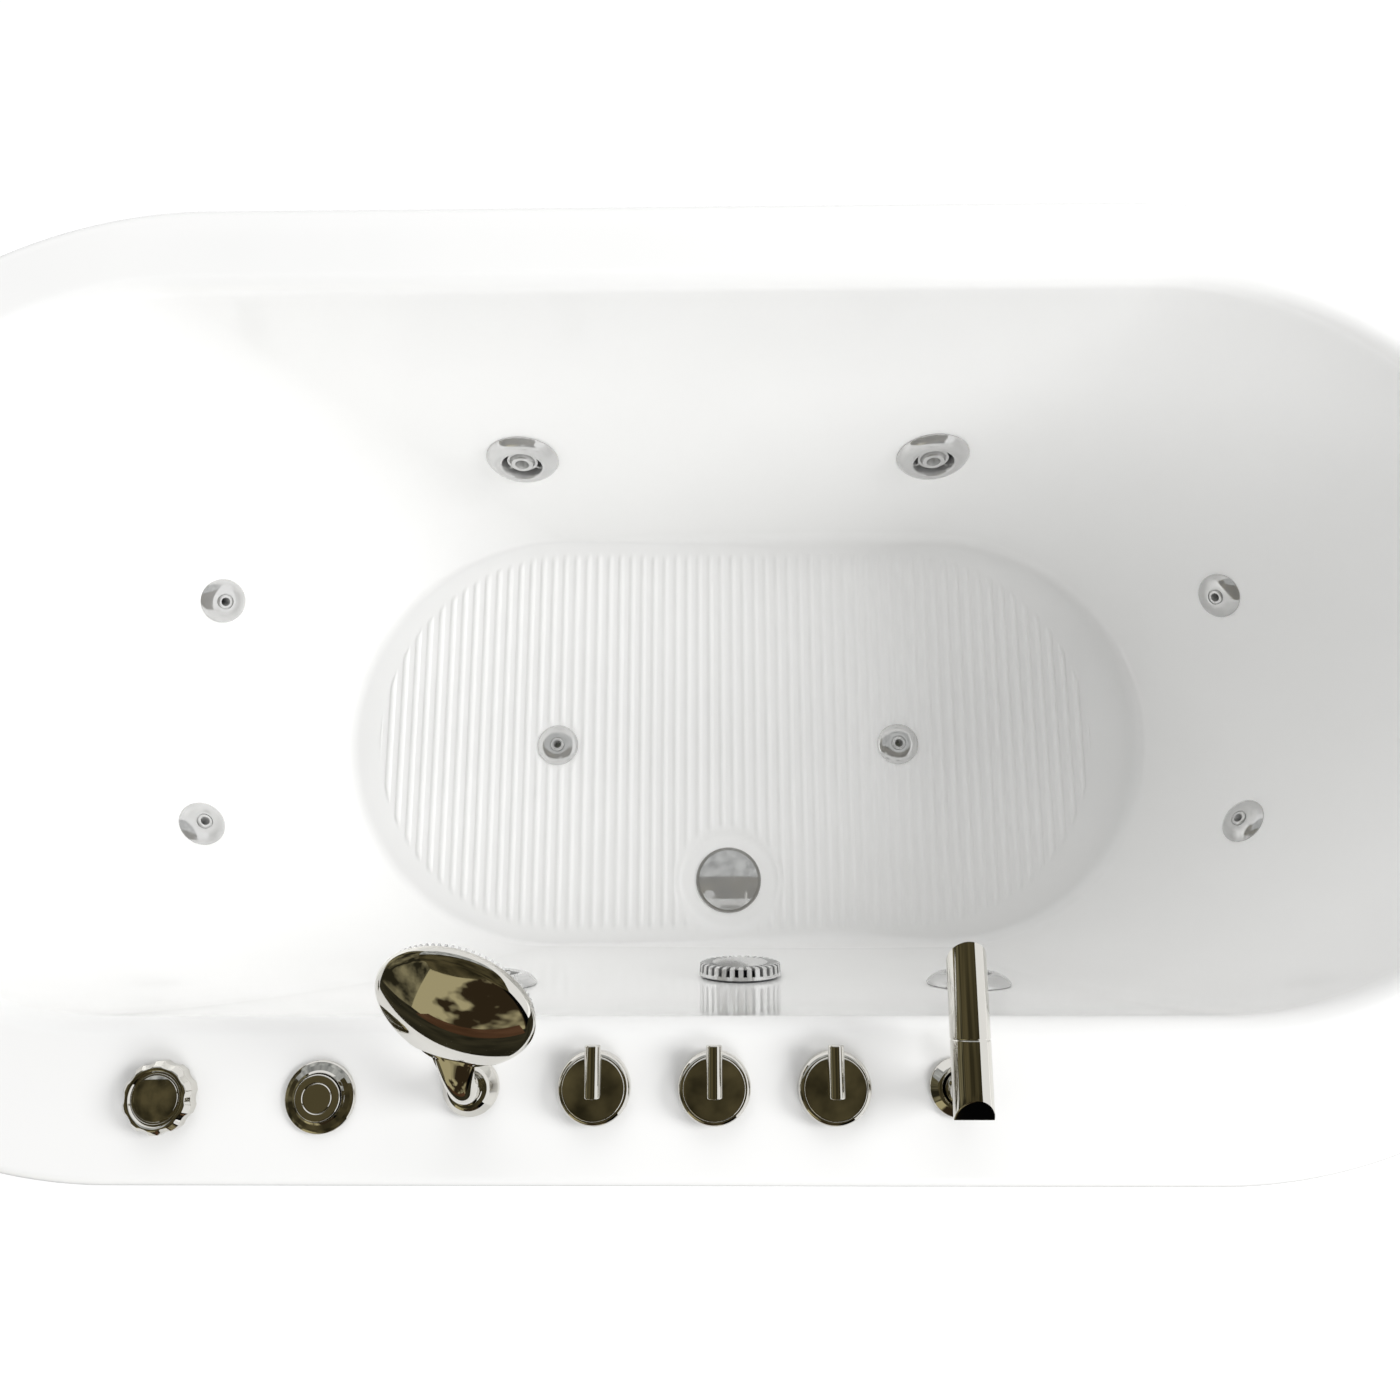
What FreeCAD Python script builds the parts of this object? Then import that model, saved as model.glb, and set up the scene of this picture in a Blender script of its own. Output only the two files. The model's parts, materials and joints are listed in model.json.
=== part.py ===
import FreeCAD, Part
import math
import os

# A free-standing jetted bathtub. +X is the foot end, +Y the back, +Z up.
# The origin is on the floor, under the middle of the rim's outline. Millimetres.

V = FreeCAD.Vector
UP = V(0, 0, 1)

# ---- rim and basin -------------------------------------------------------------
LENGTH = 1600.0            # over the rim
WIDTH = 800.0
RIM_HEIGHT = 600.0         # floor of the room to the top of the rim
RIM_LEFT = 83.0            # flat rim at the backrest end
RIM_RIGHT = 83.0
RIM_BACK = 78.0
RIM_FRONT = 118.0          # the wide side, which carries the controls
LIP_DEPTH = 38.0           # rim's outer edge, turned down
SHELL = 6.0                # acrylic with its glass-fibre backing
RIM_EDGE_R = 8.0           # outer edge
OPENING_R = 15.0           # rounding from the rim into the basin
FLOOR_RISE = 170.0         # basin's floor above the room's
LEFT_RUN = 335.0           # how far each wall comes in from rim to floor
RIGHT_RUN = 182.0
FRONT_RUN = 53.0
BACK_RUN = 71.0
END_BOW = 1.4              # 1 is a straight wall, more is a wall hollowed towards the floor
BACK_BOW = 1.7
FRONT_BOW = 1.9
FLOOR_R = 20.0             # wall to floor

# ---- floor ribs and drain --------------------------------------------------------
RIB_PITCH = 13.4
RIB_WIDTH = 7.0
RIB_HEIGHT = 2.0
RIB_MARGIN_SIDE = 19.0     # plain border between the ribs and the wall
RIB_MARGIN_LEFT = 30.0
RIB_MARGIN_RIGHT = 57.0
DRAIN_X = 56.0             # the fittings are centred on this line, between the seats' ends
DRAIN_FROM_FRONT = 72.0    # drain centre to the near edge of the floor
DRAIN_DISH_R = 57.0        # smooth recess round the drain
DRAIN_DISH_DEPTH = 2.0
PLUG_R = 33.5
PLUG_TRAVEL = 9.0
DRAIN_BORE_R = 24.0

# ---- wall and floor jets -----------------------------------------------------------
JET_TO_END = 577.0         # large jets to the rim's ends, but for DRAIN_X
BACK_JET_DEPTH = 276.0     # below the rim
FRONT_JET_DEPTH = 233.0
JET_FACE_R = 39.0
JET_FACE_HEIGHT = 11.0
JET_INSERT_R = 21.5        # dark recess in the face
JET_BORE_R = 27.0          # hole in the tub
JET_FLANGE_R = 36.0        # hidden under the face
JET_FLANGE = 2.5
JET_CHAMBER = 60.0         # wall face to the back of the body
JET_PORT = 42.0            # wall face to the axis of the water and air ports
JET_AIR_RISE = 52.0        # water port's axis to the air pipe's axis
NOZZLE_BALL_R = 14.0
NOZZLE_HOLE_R = 7.5
NOZZLE_FRONT = 8.0         # ball's centre to its flat front ring
END_JET_DEPTH = 296.0
END_JET_ANGLE = 26.5       # each side of the long axis, seen from above
SMALL_FACE_R = 23.5
SMALL_FACE_HEIGHT = 7.0
SMALL_BORE_R = 12.5
FLOOR_JET_TO_END = 602.0
PAD_BACKING = 4.0          # glass-fibre pad behind the wall at each fitting
NUT_HEIGHT = 9.0

# ---- suction fitting ---------------------------------------------------------------
SUCTION_X = 65.0
SUCTION_DEPTH = 275.0
SUCTION_R = 40.0
SUCTION_HEIGHT = 14.0
SUCTION_BORE_R = 25.0
SUCTION_SLOTS = 30

# ---- fittings on the rim -------------------------------------------------------------
CONTROL_INSET = 62.0       # air knob and air button, from the rim's front edge
VALVE_INSET = 69.0         # valves, spout and hand shower
KNOB_X = -363.0
BUTTON_X = -247.0
SHOWER_X = -137.0
VALVE_X = 40.0             # diverter, with the hot valve left of it and the cold one right
VALVE_PITCH = 87.0
SPOUT_X = 217.0
KNOB_R = 26.0
KNOB_HEIGHT = 14.0
KNOB_LOBES = 10
BUTTON_FLANGE_R = 25.8
BUTTON_R = 16.5
BUTTON_TRAVEL = 4.0
BUTTON_FLOOR = 1.4         # bottom of the well that the button sinks into
VALVE_BASE_R = 26.5
VALVE_BASE_HEIGHT = 11.0
HANDLE_DISC_R = 22.5
LEVER_R = 5.8
LEVER_LENGTH = 37.0
LEVER_BACK = 6.0           # the lever starts this far behind the valve's axis
DECK_BARREL_R = 12.0       # threaded barrel of every rim fitting
SPOUT_R = 14.0
SPOUT_AXIS_HEIGHT = 48.0   # above the rim
SPOUT_REACH = 103.0        # axis of the column to the mouth
SPOUT_FLANGE_R = 21.3
SPOUT_TAIL = 16.0          # axis of the column to the flat back end
SHOWER_HEAD_R = 55.0
SHOWER_HEAD_RISE = 98.0    # head's centre above the rim
SHOWER_HEAD_REACH = 60.5   # and in front of the holder's axis
SHOWER_TILT = 49.5
SHOWER_YAW = 6.5           # handle turned towards the foot end
HEAD_YAW = 7.0             # and the head turned further
SHOWER_HANDLE_R = 11.0
SHOWER_STEM = 70.0         # handle below the rim
HOLDER_R = 20.5

# ---- under the tub -----------------------------------------------------------------
SKIRT_WALL = 4.0
SKIRT_TAPER = 48.0         # how far the skirt comes in towards the floor
SKIRT_CLEAR = 12.0         # skirt above the floor
BOARD = 18.0
RAIL = 30.0                # square steel tube
RAIL_WALL = 2.0
RAIL_TO_DRAIN = 65.0       # rails pass clear of the trap
RAIL_LEFT_INSET = 120.0    # ends of the rails, from the rim's ends
RAIL_RIGHT_INSET = 190.0
FOOT_STUD_R = 6.0
FOOT_PAD_R = 24.0
FOOT_LEFT_INSET = 190.0
FOOT_RIGHT_INSET = 240.0
MIDDLE_FOOT_X = -20.0
PUMP_INSET = 200.0         # pump's axis to the rim's backrest end
MOTOR_R = 62.0
MOTOR_LENGTH = 190.0
VOLUTE_R = 72.0
VOLUTE_WIDTH = 56.0
PUMP_FEET = 14.0
SUCTION_PIPE_R = 20.0
WATER_PIPE_R = 14.0
BRANCH_PIPE_R = 8.0
AIR_PIPE_R = 6.0
COPPER_R = 7.5

BOARD_INSET = 30.0         # board inside the edge of the floor
CROSS_CLEAR = 12.0         # cross member to the skirt
FOOT_NUT = 19.0            # across flats
DECK_NUT = 34.0
SMALL_NUT_R = 19.0
DRAIN_NUT_R = 35.0
DRAIN_TAIL = 56.0
PLUG_STEM_R = 4.0
GUIDE_LOW = 14.0 - DRAIN_TAIL    # underside of the guide for the plug's stem, from the flange's seat
TRAP_R = 20.0
TRAP_LOW_Z = 46.0
TRAP_OUT_Z = 84.0
TRAP_LEG = 76.0
TRAP_REACH = 230.0
TRAP_BEND = 24.0
JET_SOCKET = 42.0          # jet's axis to the mouth of its sockets
SOCKET_DEPTH = 15.0
SMALL_STEM = 22.0
SMALL_STEM_R = 8.0
SMALL_BODY = 46.0
SUCTION_CHAMBER = 74.0
SUCTION_PORT = 46.0
SUCTION_SOCKET = 46.0
SUCTION_BEND = 30.0
SPINDLE_R = 4.0
DECK_TAIL = 60.0           # rim fittings below the top of the rim
VALVE_BODY_R = 16.0
VALVE_PORT = 26.0          # valve's axis to the end of a side port
VALVE_PIPE_DROP = 54.0
INLET_DROP = 148.0
INLET_R = 10.4             # half-inch pipe thread
COPPER_RUN = 33.0
MOUTH_SLANT = 40.0
SPOUT_SEAM = 37.0
HOLDER_HEIGHT = 14.0
SHOWER_STEM_R = 8.5
SPRAY_TEETH = 72
SPRAY_RING = 9.5
# neck of the hand shower: forward, up, lean in degrees, half width, half thickness
NECK = ((0.0, 26.0, 0.0, 11.0, 11.0), (0.8, 36.0, 8.0, 11.3, 10.6), (5.5, 47.0, 26.0, 13.6, 9.6),
        (18.5, 58.5, 38.0, 22.0, 8.4), (35.5, 77.0, 40.5, 33.0, 7.2))
VOLUTE_FACE_Y = -110.0
UNION = 28.0
DISCHARGE_RISE = 60.0
CRADLE = 46.0
MAIN_DROP = 252.0          # top of the rim to the water main round the head end
MAIN_Z = RIM_HEIGHT - MAIN_DROP
MAIN_LEFT_INSET = 96.0
MAIN_INSET = 91.3          # its bend into the long side: in from the rim's outline, and round the end
MAIN_ANGLE = 31.2
MAIN_BEND = 40.0
SMALL_BEND = 19.0
TAP_GAP = 2.0              # room for the glued saddle where a branch meets the sloping main
LEFT_BRANCH_DROP = 45.0    # the branch comes up under the main from this far below it
BRANCH_LEAD = 40.0         # straight stretch past the start of the foot end's curve
BRANCH_INSET = 88.0
BRANCH_ANGLE = 30.8
FLOOR_PIPE_DROP = 22.0     # pipe to the floor jets, below the rails' undersides
SUCTION_LEAD = 62.0
SUCTION_LATE = 20.0        # suction pipe turns in this far past the start of the head end's curve
AIR_INSET = 67.0
AIR_ANGLE = 28.7
AIR_END_INSET = 75.0
AIR_END_ANGLE = 68.3

# ---- clearances ----------------------------------------------------------------------
GLUE_GAP = 0.3             # bonded or seated faces that are curved
TURN_GAP = 0.3             # between a turning piece and what it turns in
HOLE_GAP = 0.5             # barrel to the hole in the tub
STEM_FIT = 0.08            # spindles and stems in their bores

# ---- worked out --------------------------------------------------------------------
DECK_Z = RIM_HEIGHT
UNDERSIDE_Z = RIM_HEIGHT - SHELL
BASIN_DEPTH = RIM_HEIGHT - FLOOR_RISE
FLOOR_Z = FLOOR_RISE
BOARD_TOP = FLOOR_Z - SHELL
BOARD_Z = BOARD_TOP - BOARD
RAIL_Z = BOARD_Z - RAIL
OPEN_LEFT = -LENGTH / 2 + RIM_LEFT
OPEN_RIGHT = LENGTH / 2 - RIM_RIGHT
OPEN_FRONT = -WIDTH / 2 + RIM_FRONT
OPEN_BACK = WIDTH / 2 - RIM_BACK
FLOOR_LEFT = OPEN_LEFT + LEFT_RUN
FLOOR_RIGHT = OPEN_RIGHT - RIGHT_RUN
FLOOR_FRONT = OPEN_FRONT + FRONT_RUN
FLOOR_BACK = OPEN_BACK - BACK_RUN
FLOOR_MID_Y = (FLOOR_FRONT + FLOOR_BACK) / 2
CONTROL_Y = -WIDTH / 2 + CONTROL_INSET
VALVE_Y = -WIDTH / 2 + VALVE_INSET
DRAIN_Y = FLOOR_FRONT + DRAIN_FROM_FRONT
JET_SPREAD = LENGTH / 2 - JET_TO_END         # each side of DRAIN_X
FLOOR_JET_SPREAD = LENGTH / 2 - FLOOR_JET_TO_END
RAIL_Y = -DRAIN_Y - RAIL_TO_DRAIN
RAIL_LEFT = RAIL_LEFT_INSET - LENGTH / 2
RAIL_RIGHT = LENGTH / 2 - RAIL_RIGHT_INSET
FOOT_X = (FOOT_LEFT_INSET - LENGTH / 2, MIDDLE_FOOT_X, LENGTH / 2 - FOOT_RIGHT_INSET)
PUMP_X = PUMP_INSET - LENGTH / 2
END_CURVE_X = LENGTH / 2 - WIDTH / 2         # where the rim's half-round ends start
MAIN_LEFT_X = MAIN_LEFT_INSET - LENGTH / 2
MAIN_JOIN_X = -END_CURVE_X
FLOOR_PIPE_Z = RAIL_Z - FLOOR_PIPE_DROP
SEAT = SHELL + PAD_BACKING          # wall face to the back of a fitting's pad
PUMP_AXIS_Z = RAIL_Z + RAIL + PUMP_FEET + VOLUTE_R
CAVITY_STEPS = (0.0, 0.15, 0.35, 0.6, 0.82, 1.0)


# ---- general helpers -----------------------------------------------------------------
def save(name, *solids):
    shape = solids[0] if len(solids) == 1 else Part.makeCompound(list(solids))
    shape.exportStep(os.path.join("parts", name + ".step"))


def fused(*shapes):
    return shapes[0].multiFuse(list(shapes[1:])).removeSplitter()


def profile(start, *moves):
    """Closed face in the XZ plane. A move is a point, or a point on an arc and the arc's end."""
    here, edges = V(start[0], 0, start[1]), []
    for move in moves + (start,):
        if isinstance(move[0], tuple):
            end = V(move[1][0], 0, move[1][1])
            edges.append(Part.Arc(here, V(move[0][0], 0, move[0][1]), end).toShape())
        else:
            end = V(move[0], 0, move[1])
            if end.isEqual(here, 1e-6):
                continue
            edges.append(Part.makeLine(here, end))
        here = end
    return Part.Face(Part.Wire(edges))


def cap(radius, low, top):
    """Move to the axis along a ball's surface, from a point at the radius and the lower height."""
    rise = top - low
    ball = (radius * radius + rise * rise) / (2 * rise)
    return (radius / 2, top - ball + math.sqrt(ball * ball - radius * radius / 4)), (0, top)


def turned(start, *moves):
    """Solid of revolution about Z from a profile of (radius, height) points."""
    return profile(start, *moves).revolve(V(0, 0, 0), UP, 360)


def drum(radius, low, high):
    return Part.makeCylinder(radius, high - low, V(0, 0, low))


def sleeve(outer, inner, low, high):
    return drum(outer, low, high).cut(drum(inner, low - 1, high + 1))


def hexagon(across, low, high, bore=0.0):
    corners = [V(across / math.sqrt(3) * math.cos(math.radians(60 * i)),
                 across / math.sqrt(3) * math.sin(math.radians(60 * i)), low) for i in range(7)]
    body = Part.Face(Part.makePolygon(corners)).extrude(V(0, 0, high - low))
    return body.cut(drum(bore, low - 1, high + 1)) if bore else body


def box(x, y, z):
    return Part.makeBox(x[1] - x[0], y[1] - y[0], z[1] - z[0], V(x[0], y[0], z[0]))


def at(x, y, z=0.0):
    return FreeCAD.Placement(V(x, y, z), FreeCAD.Rotation())


def facing(point, normal):
    """Placement whose Z is the normal and whose Y leans as far up as it can."""
    across = UP.cross(normal)
    if across.Length < 1e-6:
        across = V(1, 0, 0)
    across.normalize()
    return FreeCAD.Placement(point, FreeCAD.Rotation(across, normal.cross(across), normal, "ZXY"))


def put(shape, placement):
    moved = shape.copy()
    moved.Placement = placement.multiply(moved.Placement)
    return moved


def stadium(left, right, front, back, z):
    """Outline with half-round ends, as lines along X joined by arcs."""
    r, mid = (back - front) / 2, (back + front) / 2
    a, b = V(left + r, back, z), V(right - r, back, z)
    c, d = V(right - r, front, z), V(left + r, front, z)
    return Part.Wire([Part.makeLine(a, b), Part.Arc(b, V(right, mid, z), c).toShape(),
                      Part.makeLine(c, d), Part.Arc(d, V(left, mid, z), a).toShape()])


def stadium_block(left, right, front, back, low, high):
    return Part.Face(stadium(left, right, front, back, low)).extrude(V(0, 0, high - low))


def rod(points, radius, bend):
    """Round bar through the points, with a bend of the given radius at each inner point."""
    points, pieces, start = [V(*p) for p in points], [], None
    start = points[0]
    for i in range(1, len(points)):
        ahead = points[i] - points[i - 1]
        ahead.normalize()
        if i == len(points) - 1:
            pieces.append(Part.makeCylinder(radius, (points[i] - start).Length, start, ahead))
            break
        onward = points[i + 1] - points[i]
        onward.normalize()
        turn = ahead.getAngle(onward)
        if turn < 0.01:
            continue
        cut_back = bend * math.tan(turn / 2)
        end = points[i] - ahead * cut_back
        pieces.append(Part.makeCylinder(radius, (end - start).Length, start, ahead))
        axis = ahead.cross(onward)
        axis.normalize()
        disc = Part.Face(Part.Wire(Part.makeCircle(radius, end, ahead)))
        pieces.append(disc.revolve(end + axis.cross(ahead) * bend, axis, math.degrees(turn)))
        start = points[i] + onward * cut_back
    return fused(*pieces) if len(pieces) > 1 else pieces[0]


# ---- basin wall ------------------------------------------------------------------------
def wall_extents(depth, grow=0.0):
    """Left, right, front and back of the basin at a depth, moved out by a wall thickness."""
    part = max(depth / BASIN_DEPTH, 0.0)

    def run(distance, bow):
        slope = distance * bow * part ** (bow - 1) / BASIN_DEPTH
        return distance * part ** bow - grow * math.hypot(1, slope)

    return (OPEN_LEFT + run(LEFT_RUN, END_BOW), OPEN_RIGHT - run(RIGHT_RUN, END_BOW),
            OPEN_FRONT + run(FRONT_RUN, FRONT_BOW), OPEN_BACK - run(BACK_RUN, BACK_BOW))


def basin_form(grow, floor_extra, corner):
    """The basin's hollow, or its outside when it is grown, with the floor edge rounded."""
    bottom = BASIN_DEPTH + floor_extra
    wires = [stadium(*wall_extents(s * bottom, grow), RIM_HEIGHT - s * bottom) for s in CAVITY_STEPS]
    form = Part.makeLoft(wires, True, False)
    rim_of_floor = [e for e in form.Edges if abs(e.BoundBox.ZMax - (RIM_HEIGHT - bottom)) < 0.01
                    and e.BoundBox.ZLength < 0.01]
    return form.makeFillet(corner, rim_of_floor)


def wall_point(side, place, depth):
    """Point on the basin wall. place is x on a long side, or degrees off the long axis at an end."""
    left, right, front, back = wall_extents(depth)
    r, mid = (back - front) / 2, (back + front) / 2
    z = RIM_HEIGHT - depth
    if side == "front":
        return V(place, front, z)
    if side == "back":
        return V(place, back, z)
    angle = math.radians(place)
    if side == "left":
        return V(left + r - r * math.cos(angle), mid + r * math.sin(angle), z)
    return V(right - r + r * math.cos(angle), mid + r * math.sin(angle), z)


def wall_seat(side, place, depth):
    """Placement on the basin wall, with Z into the basin and Y up the wall."""
    here = wall_point(side, place, depth)
    along = wall_point(side, place + 0.5, depth) - here
    down = wall_point(side, place, depth + 0.5) - here
    normal = along.cross(down)
    normal.normalize()
    if normal.dot(V(DRAIN_X, FLOOR_MID_Y, RIM_HEIGHT) - here) < 0:
        normal = normal * -1
    return facing(here, normal)


LARGE_JETS = {
    "front_left": wall_seat("front", DRAIN_X - JET_SPREAD, FRONT_JET_DEPTH),
    "front_right": wall_seat("front", DRAIN_X + JET_SPREAD, FRONT_JET_DEPTH),
    "back_left": wall_seat("back", DRAIN_X - JET_SPREAD, BACK_JET_DEPTH),
    "back_right": wall_seat("back", DRAIN_X + JET_SPREAD, BACK_JET_DEPTH),
}
END_JETS = {
    "left_front": wall_seat("left", -END_JET_ANGLE, END_JET_DEPTH),
    "left_back": wall_seat("left", END_JET_ANGLE, END_JET_DEPTH),
    "right_front": wall_seat("right", -END_JET_ANGLE, END_JET_DEPTH),
    "right_back": wall_seat("right", END_JET_ANGLE, END_JET_DEPTH),
}
FLOOR_JETS = {
    "left": at(DRAIN_X - FLOOR_JET_SPREAD, FLOOR_MID_Y - 12, FLOOR_Z),
    "right": at(DRAIN_X + FLOOR_JET_SPREAD, FLOOR_MID_Y - 12, FLOOR_Z),
}
SUCTION_SEAT = wall_seat("front", SUCTION_X, SUCTION_DEPTH)
VALVES = {"hot": VALVE_X - VALVE_PITCH, "diverter": VALVE_X, "cold": VALVE_X + VALVE_PITCH}
DECK_HOLES = [(KNOB_X, CONTROL_Y), (BUTTON_X, CONTROL_Y), (SHOWER_X, VALVE_Y), (SPOUT_X, VALVE_Y)]
DECK_HOLES += [(x, VALVE_Y) for x in VALVES.values()]


# ---- tub -------------------------------------------------------------------------------
def floor_ribs():
    """Rounded non-slip ribs across the floor, kept clear of the drain dish and the jets."""
    left, right = FLOOR_LEFT + RIB_MARGIN_LEFT, FLOOR_RIGHT - RIB_MARGIN_RIGHT
    front, back = FLOOR_FRONT + RIB_MARGIN_SIDE, FLOOR_BACK - RIB_MARGIN_SIDE
    r, mid = (back - front) / 2, (front + back) / 2
    count = int((right - left) // RIB_PITCH)
    first = (left + right) / 2 - RIB_PITCH * (count - 1) / 2
    bars = []
    for i in range(count):
        x = first + i * RIB_PITCH
        off_end = max(left + r - x, x - (right - r), 0.0)
        half = math.sqrt(max(r * r - off_end * off_end, 0.0))
        if half < RIB_WIDTH:
            continue
        base = FLOOR_Z - 0.5
        arch = Part.Arc(V(x - RIB_WIDTH / 2, mid - half, FLOOR_Z), V(x, mid - half, FLOOR_Z + RIB_HEIGHT),
                        V(x + RIB_WIDTH / 2, mid - half, FLOOR_Z)).toShape()
        corners = [(0.5, FLOOR_Z), (0.5, base), (-0.5, base), (-0.5, FLOOR_Z)]
        foot = Part.makePolygon([V(x + side * RIB_WIDTH, mid - half, z) for side, z in corners])
        bars.append(Part.Face(Part.Wire([arch] + foot.Edges)).extrude(V(0, 2 * half, 0)))
    keep_out = [put(drum(DRAIN_DISH_R + 3, -5, 10), at(DRAIN_X, DRAIN_Y, FLOOR_Z)),
                box((DRAIN_X - DRAIN_DISH_R / 2, DRAIN_X + DRAIN_DISH_R / 2 + 6), (FLOOR_FRONT, DRAIN_Y),
                    (FLOOR_Z - 5, FLOOR_Z + 10))]
    keep_out += [put(drum(SMALL_FACE_R + 1, -5, 10), seat) for seat in FLOOR_JETS.values()]
    return Part.makeCompound(bars).cut(fused(*keep_out))


def tub_shell():
    """Rim, turned-down lip and basin in one skin, with a seat and a hole for every fitting."""
    half_l, half_w = LENGTH / 2, WIDTH / 2
    plate = stadium_block(-half_l, half_l, -half_w, half_w, UNDERSIDE_Z, DECK_Z)
    outside = basin_form(SHELL, SHELL, FLOOR_R + SHELL)
    body = plate.fuse(outside)
    inner_corner = [e for e in body.Edges if abs(e.BoundBox.ZMax - UNDERSIDE_Z) < 0.01
                    and e.BoundBox.ZLength < 0.01 and abs(e.BoundBox.YMax) < half_w - 20
                    and abs(e.BoundBox.YMin) < half_w - 20]
    body = body.makeFillet(OPENING_R + SHELL, inner_corner)
    lip = stadium_block(-half_l, half_l, -half_w, half_w, DECK_Z - LIP_DEPTH, DECK_Z)
    lip = lip.cut(stadium_block(-half_l + SHELL, half_l - SHELL, -half_w + SHELL, half_w - SHELL,
                                DECK_Z - LIP_DEPTH - 1, DECK_Z + 1))
    body = body.fuse(lip)
    mouth = Part.Face(stadium(*wall_extents(0.0), DECK_Z)).extrude(V(0, 0, 20))
    body = body.cut(basin_form(0.0, 0.0, FLOOR_R).fuse(mouth)).removeSplitter()
    top = [e for e in body.Edges if abs(e.BoundBox.ZMax - DECK_Z) < 0.01 and e.BoundBox.ZLength < 0.01]
    outer = [e for e in top if e.BoundBox.YMax > half_w - 1 or e.BoundBox.YMin < 1 - half_w]
    inner = [e for e in top if not any(e.isSame(o) for o in outer)]
    body = body.makeFillet(OPENING_R, inner)
    top = [e for e in body.Edges if abs(e.BoundBox.ZMax - DECK_Z) < 0.01 and e.BoundBox.ZLength < 0.01]
    outer = [e for e in top if e.BoundBox.YMax > half_w - 1 or e.BoundBox.YMin < 1 - half_w]
    body = body.makeFillet(RIM_EDGE_R, outer)

    pads, cuts = [], []
    for seat in LARGE_JETS.values():
        pads.append(put(drum(JET_FACE_R, -SEAT, -SHELL / 2), seat))
        cuts += [put(drum(JET_FACE_R + 1, 0, 25), seat), put(drum(JET_BORE_R, -30, 5), seat)]
    for seat in END_JETS.values():
        pads.append(put(drum(SMALL_FACE_R, -SEAT, -SHELL / 2), seat))
        cuts += [put(drum(SMALL_FACE_R + 1, 0, 25), seat), put(drum(SMALL_BORE_R, -30, 5), seat)]
    for seat in FLOOR_JETS.values():
        cuts.append(put(drum(SMALL_BORE_R, -30, 5), seat))
    pads.append(put(drum(SUCTION_R, -SEAT, -SHELL / 2), SUCTION_SEAT))
    cuts += [put(drum(SUCTION_R + 1, 0, 25), SUCTION_SEAT), put(drum(SUCTION_BORE_R, -30, 5), SUCTION_SEAT)]
    drain = at(DRAIN_X, DRAIN_Y, FLOOR_Z)
    cuts.append(put(turned((0, -DRAIN_DISH_DEPTH), (DRAIN_DISH_R - 3, -DRAIN_DISH_DEPTH),
                           (DRAIN_DISH_R, 0), (DRAIN_DISH_R, 5), (0, 5)), drain))
    cuts.append(put(drum(DRAIN_BORE_R + 2 + HOLE_GAP, -30, 5), drain))
    for x, y in DECK_HOLES:
        cuts.append(put(drum(DECK_BARREL_R + HOLE_GAP, -30, 5), at(x, y, DECK_Z)))
    body = body.fuse(pads).cut(cuts)
    return body.fuse(floor_ribs()).removeSplitter()


def outer_skirt():
    """Tapering skirt, bonded inside the lip and open at the bottom."""
    def form(inset):
        wires = []
        for step in (0.0, 0.1, 0.35, 0.7, 1.0):
            z = UNDERSIDE_Z - step * (UNDERSIDE_Z - SKIRT_CLEAR)
            side = inset + SHELL + GLUE_GAP + SKIRT_TAPER * max(step - 0.1, 0.0) ** 1.5 / 0.9 ** 1.5
            wires.append(stadium(-LENGTH / 2 + side, LENGTH / 2 - side, -WIDTH / 2 + side, WIDTH / 2 - side, z))
        return Part.makeLoft(wires, True, False)
    return form(0.0).cut(form(SKIRT_WALL))


def skirt_half_width(x, z):
    """Room inside the skirt, from the long axis to its inner face, at a place and height."""
    step = (UNDERSIDE_Z - z) / (UNDERSIDE_Z - SKIRT_CLEAR)
    side = SKIRT_WALL + SHELL + GLUE_GAP + SKIRT_TAPER * max((step - 0.1) / 0.9, 0.0) ** 1.5
    r, off = WIDTH / 2 - side, max(abs(x) - (LENGTH - WIDTH) / 2, 0.0)
    return math.sqrt(max(r * r - off * off, 0.0))


def board_outline(inset, low, high):
    return stadium_block(FLOOR_LEFT + inset, FLOOR_RIGHT - inset, FLOOR_FRONT + inset, FLOOR_BACK - inset,
                         low, high)


def base_board():
    """Plywood board bonded under the flat of the floor, open round the drain and the floor jets."""
    board = board_outline(BOARD_INSET, BOARD_Z, BOARD_TOP)
    open_low, open_high = BOARD_Z - 1, BOARD_TOP + 1
    slot = [put(drum(DRAIN_NUT_R + 4, 0, BOARD + 2), at(DRAIN_X, DRAIN_Y, open_low)),
            box((DRAIN_X - DRAIN_NUT_R - 4, DRAIN_X + DRAIN_NUT_R + 4), (FLOOR_FRONT - 50, DRAIN_Y),
                (open_low, open_high))]
    slot += [put(drum(SMALL_NUT_R + 4, 0, BOARD + 2), at(p.Base.x, p.Base.y, open_low))
             for p in FLOOR_JETS.values()]
    return board.cut(slot)


def square_tube(x, y, z):
    """Hollow bar, open at the two ends of its longest side."""
    spans = [x, y, z]
    longest = max(range(3), key=lambda i: spans[i][1] - spans[i][0])
    inner = [(s[0] - 1, s[1] + 1) if i == longest else (s[0] + RAIL_WALL, s[1] - RAIL_WALL)
             for i, s in enumerate(spans)]
    return box(*spans).cut(box(*inner))


def cross_half(x):
    return skirt_half_width(abs(x) + RAIL / 2, RAIL_Z) - CROSS_CLEAR


def foot_places():
    return [(x, side * (cross_half(x) - FOOT_PAD_R)) for x in FOOT_X for side in (-1, 1)]


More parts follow.
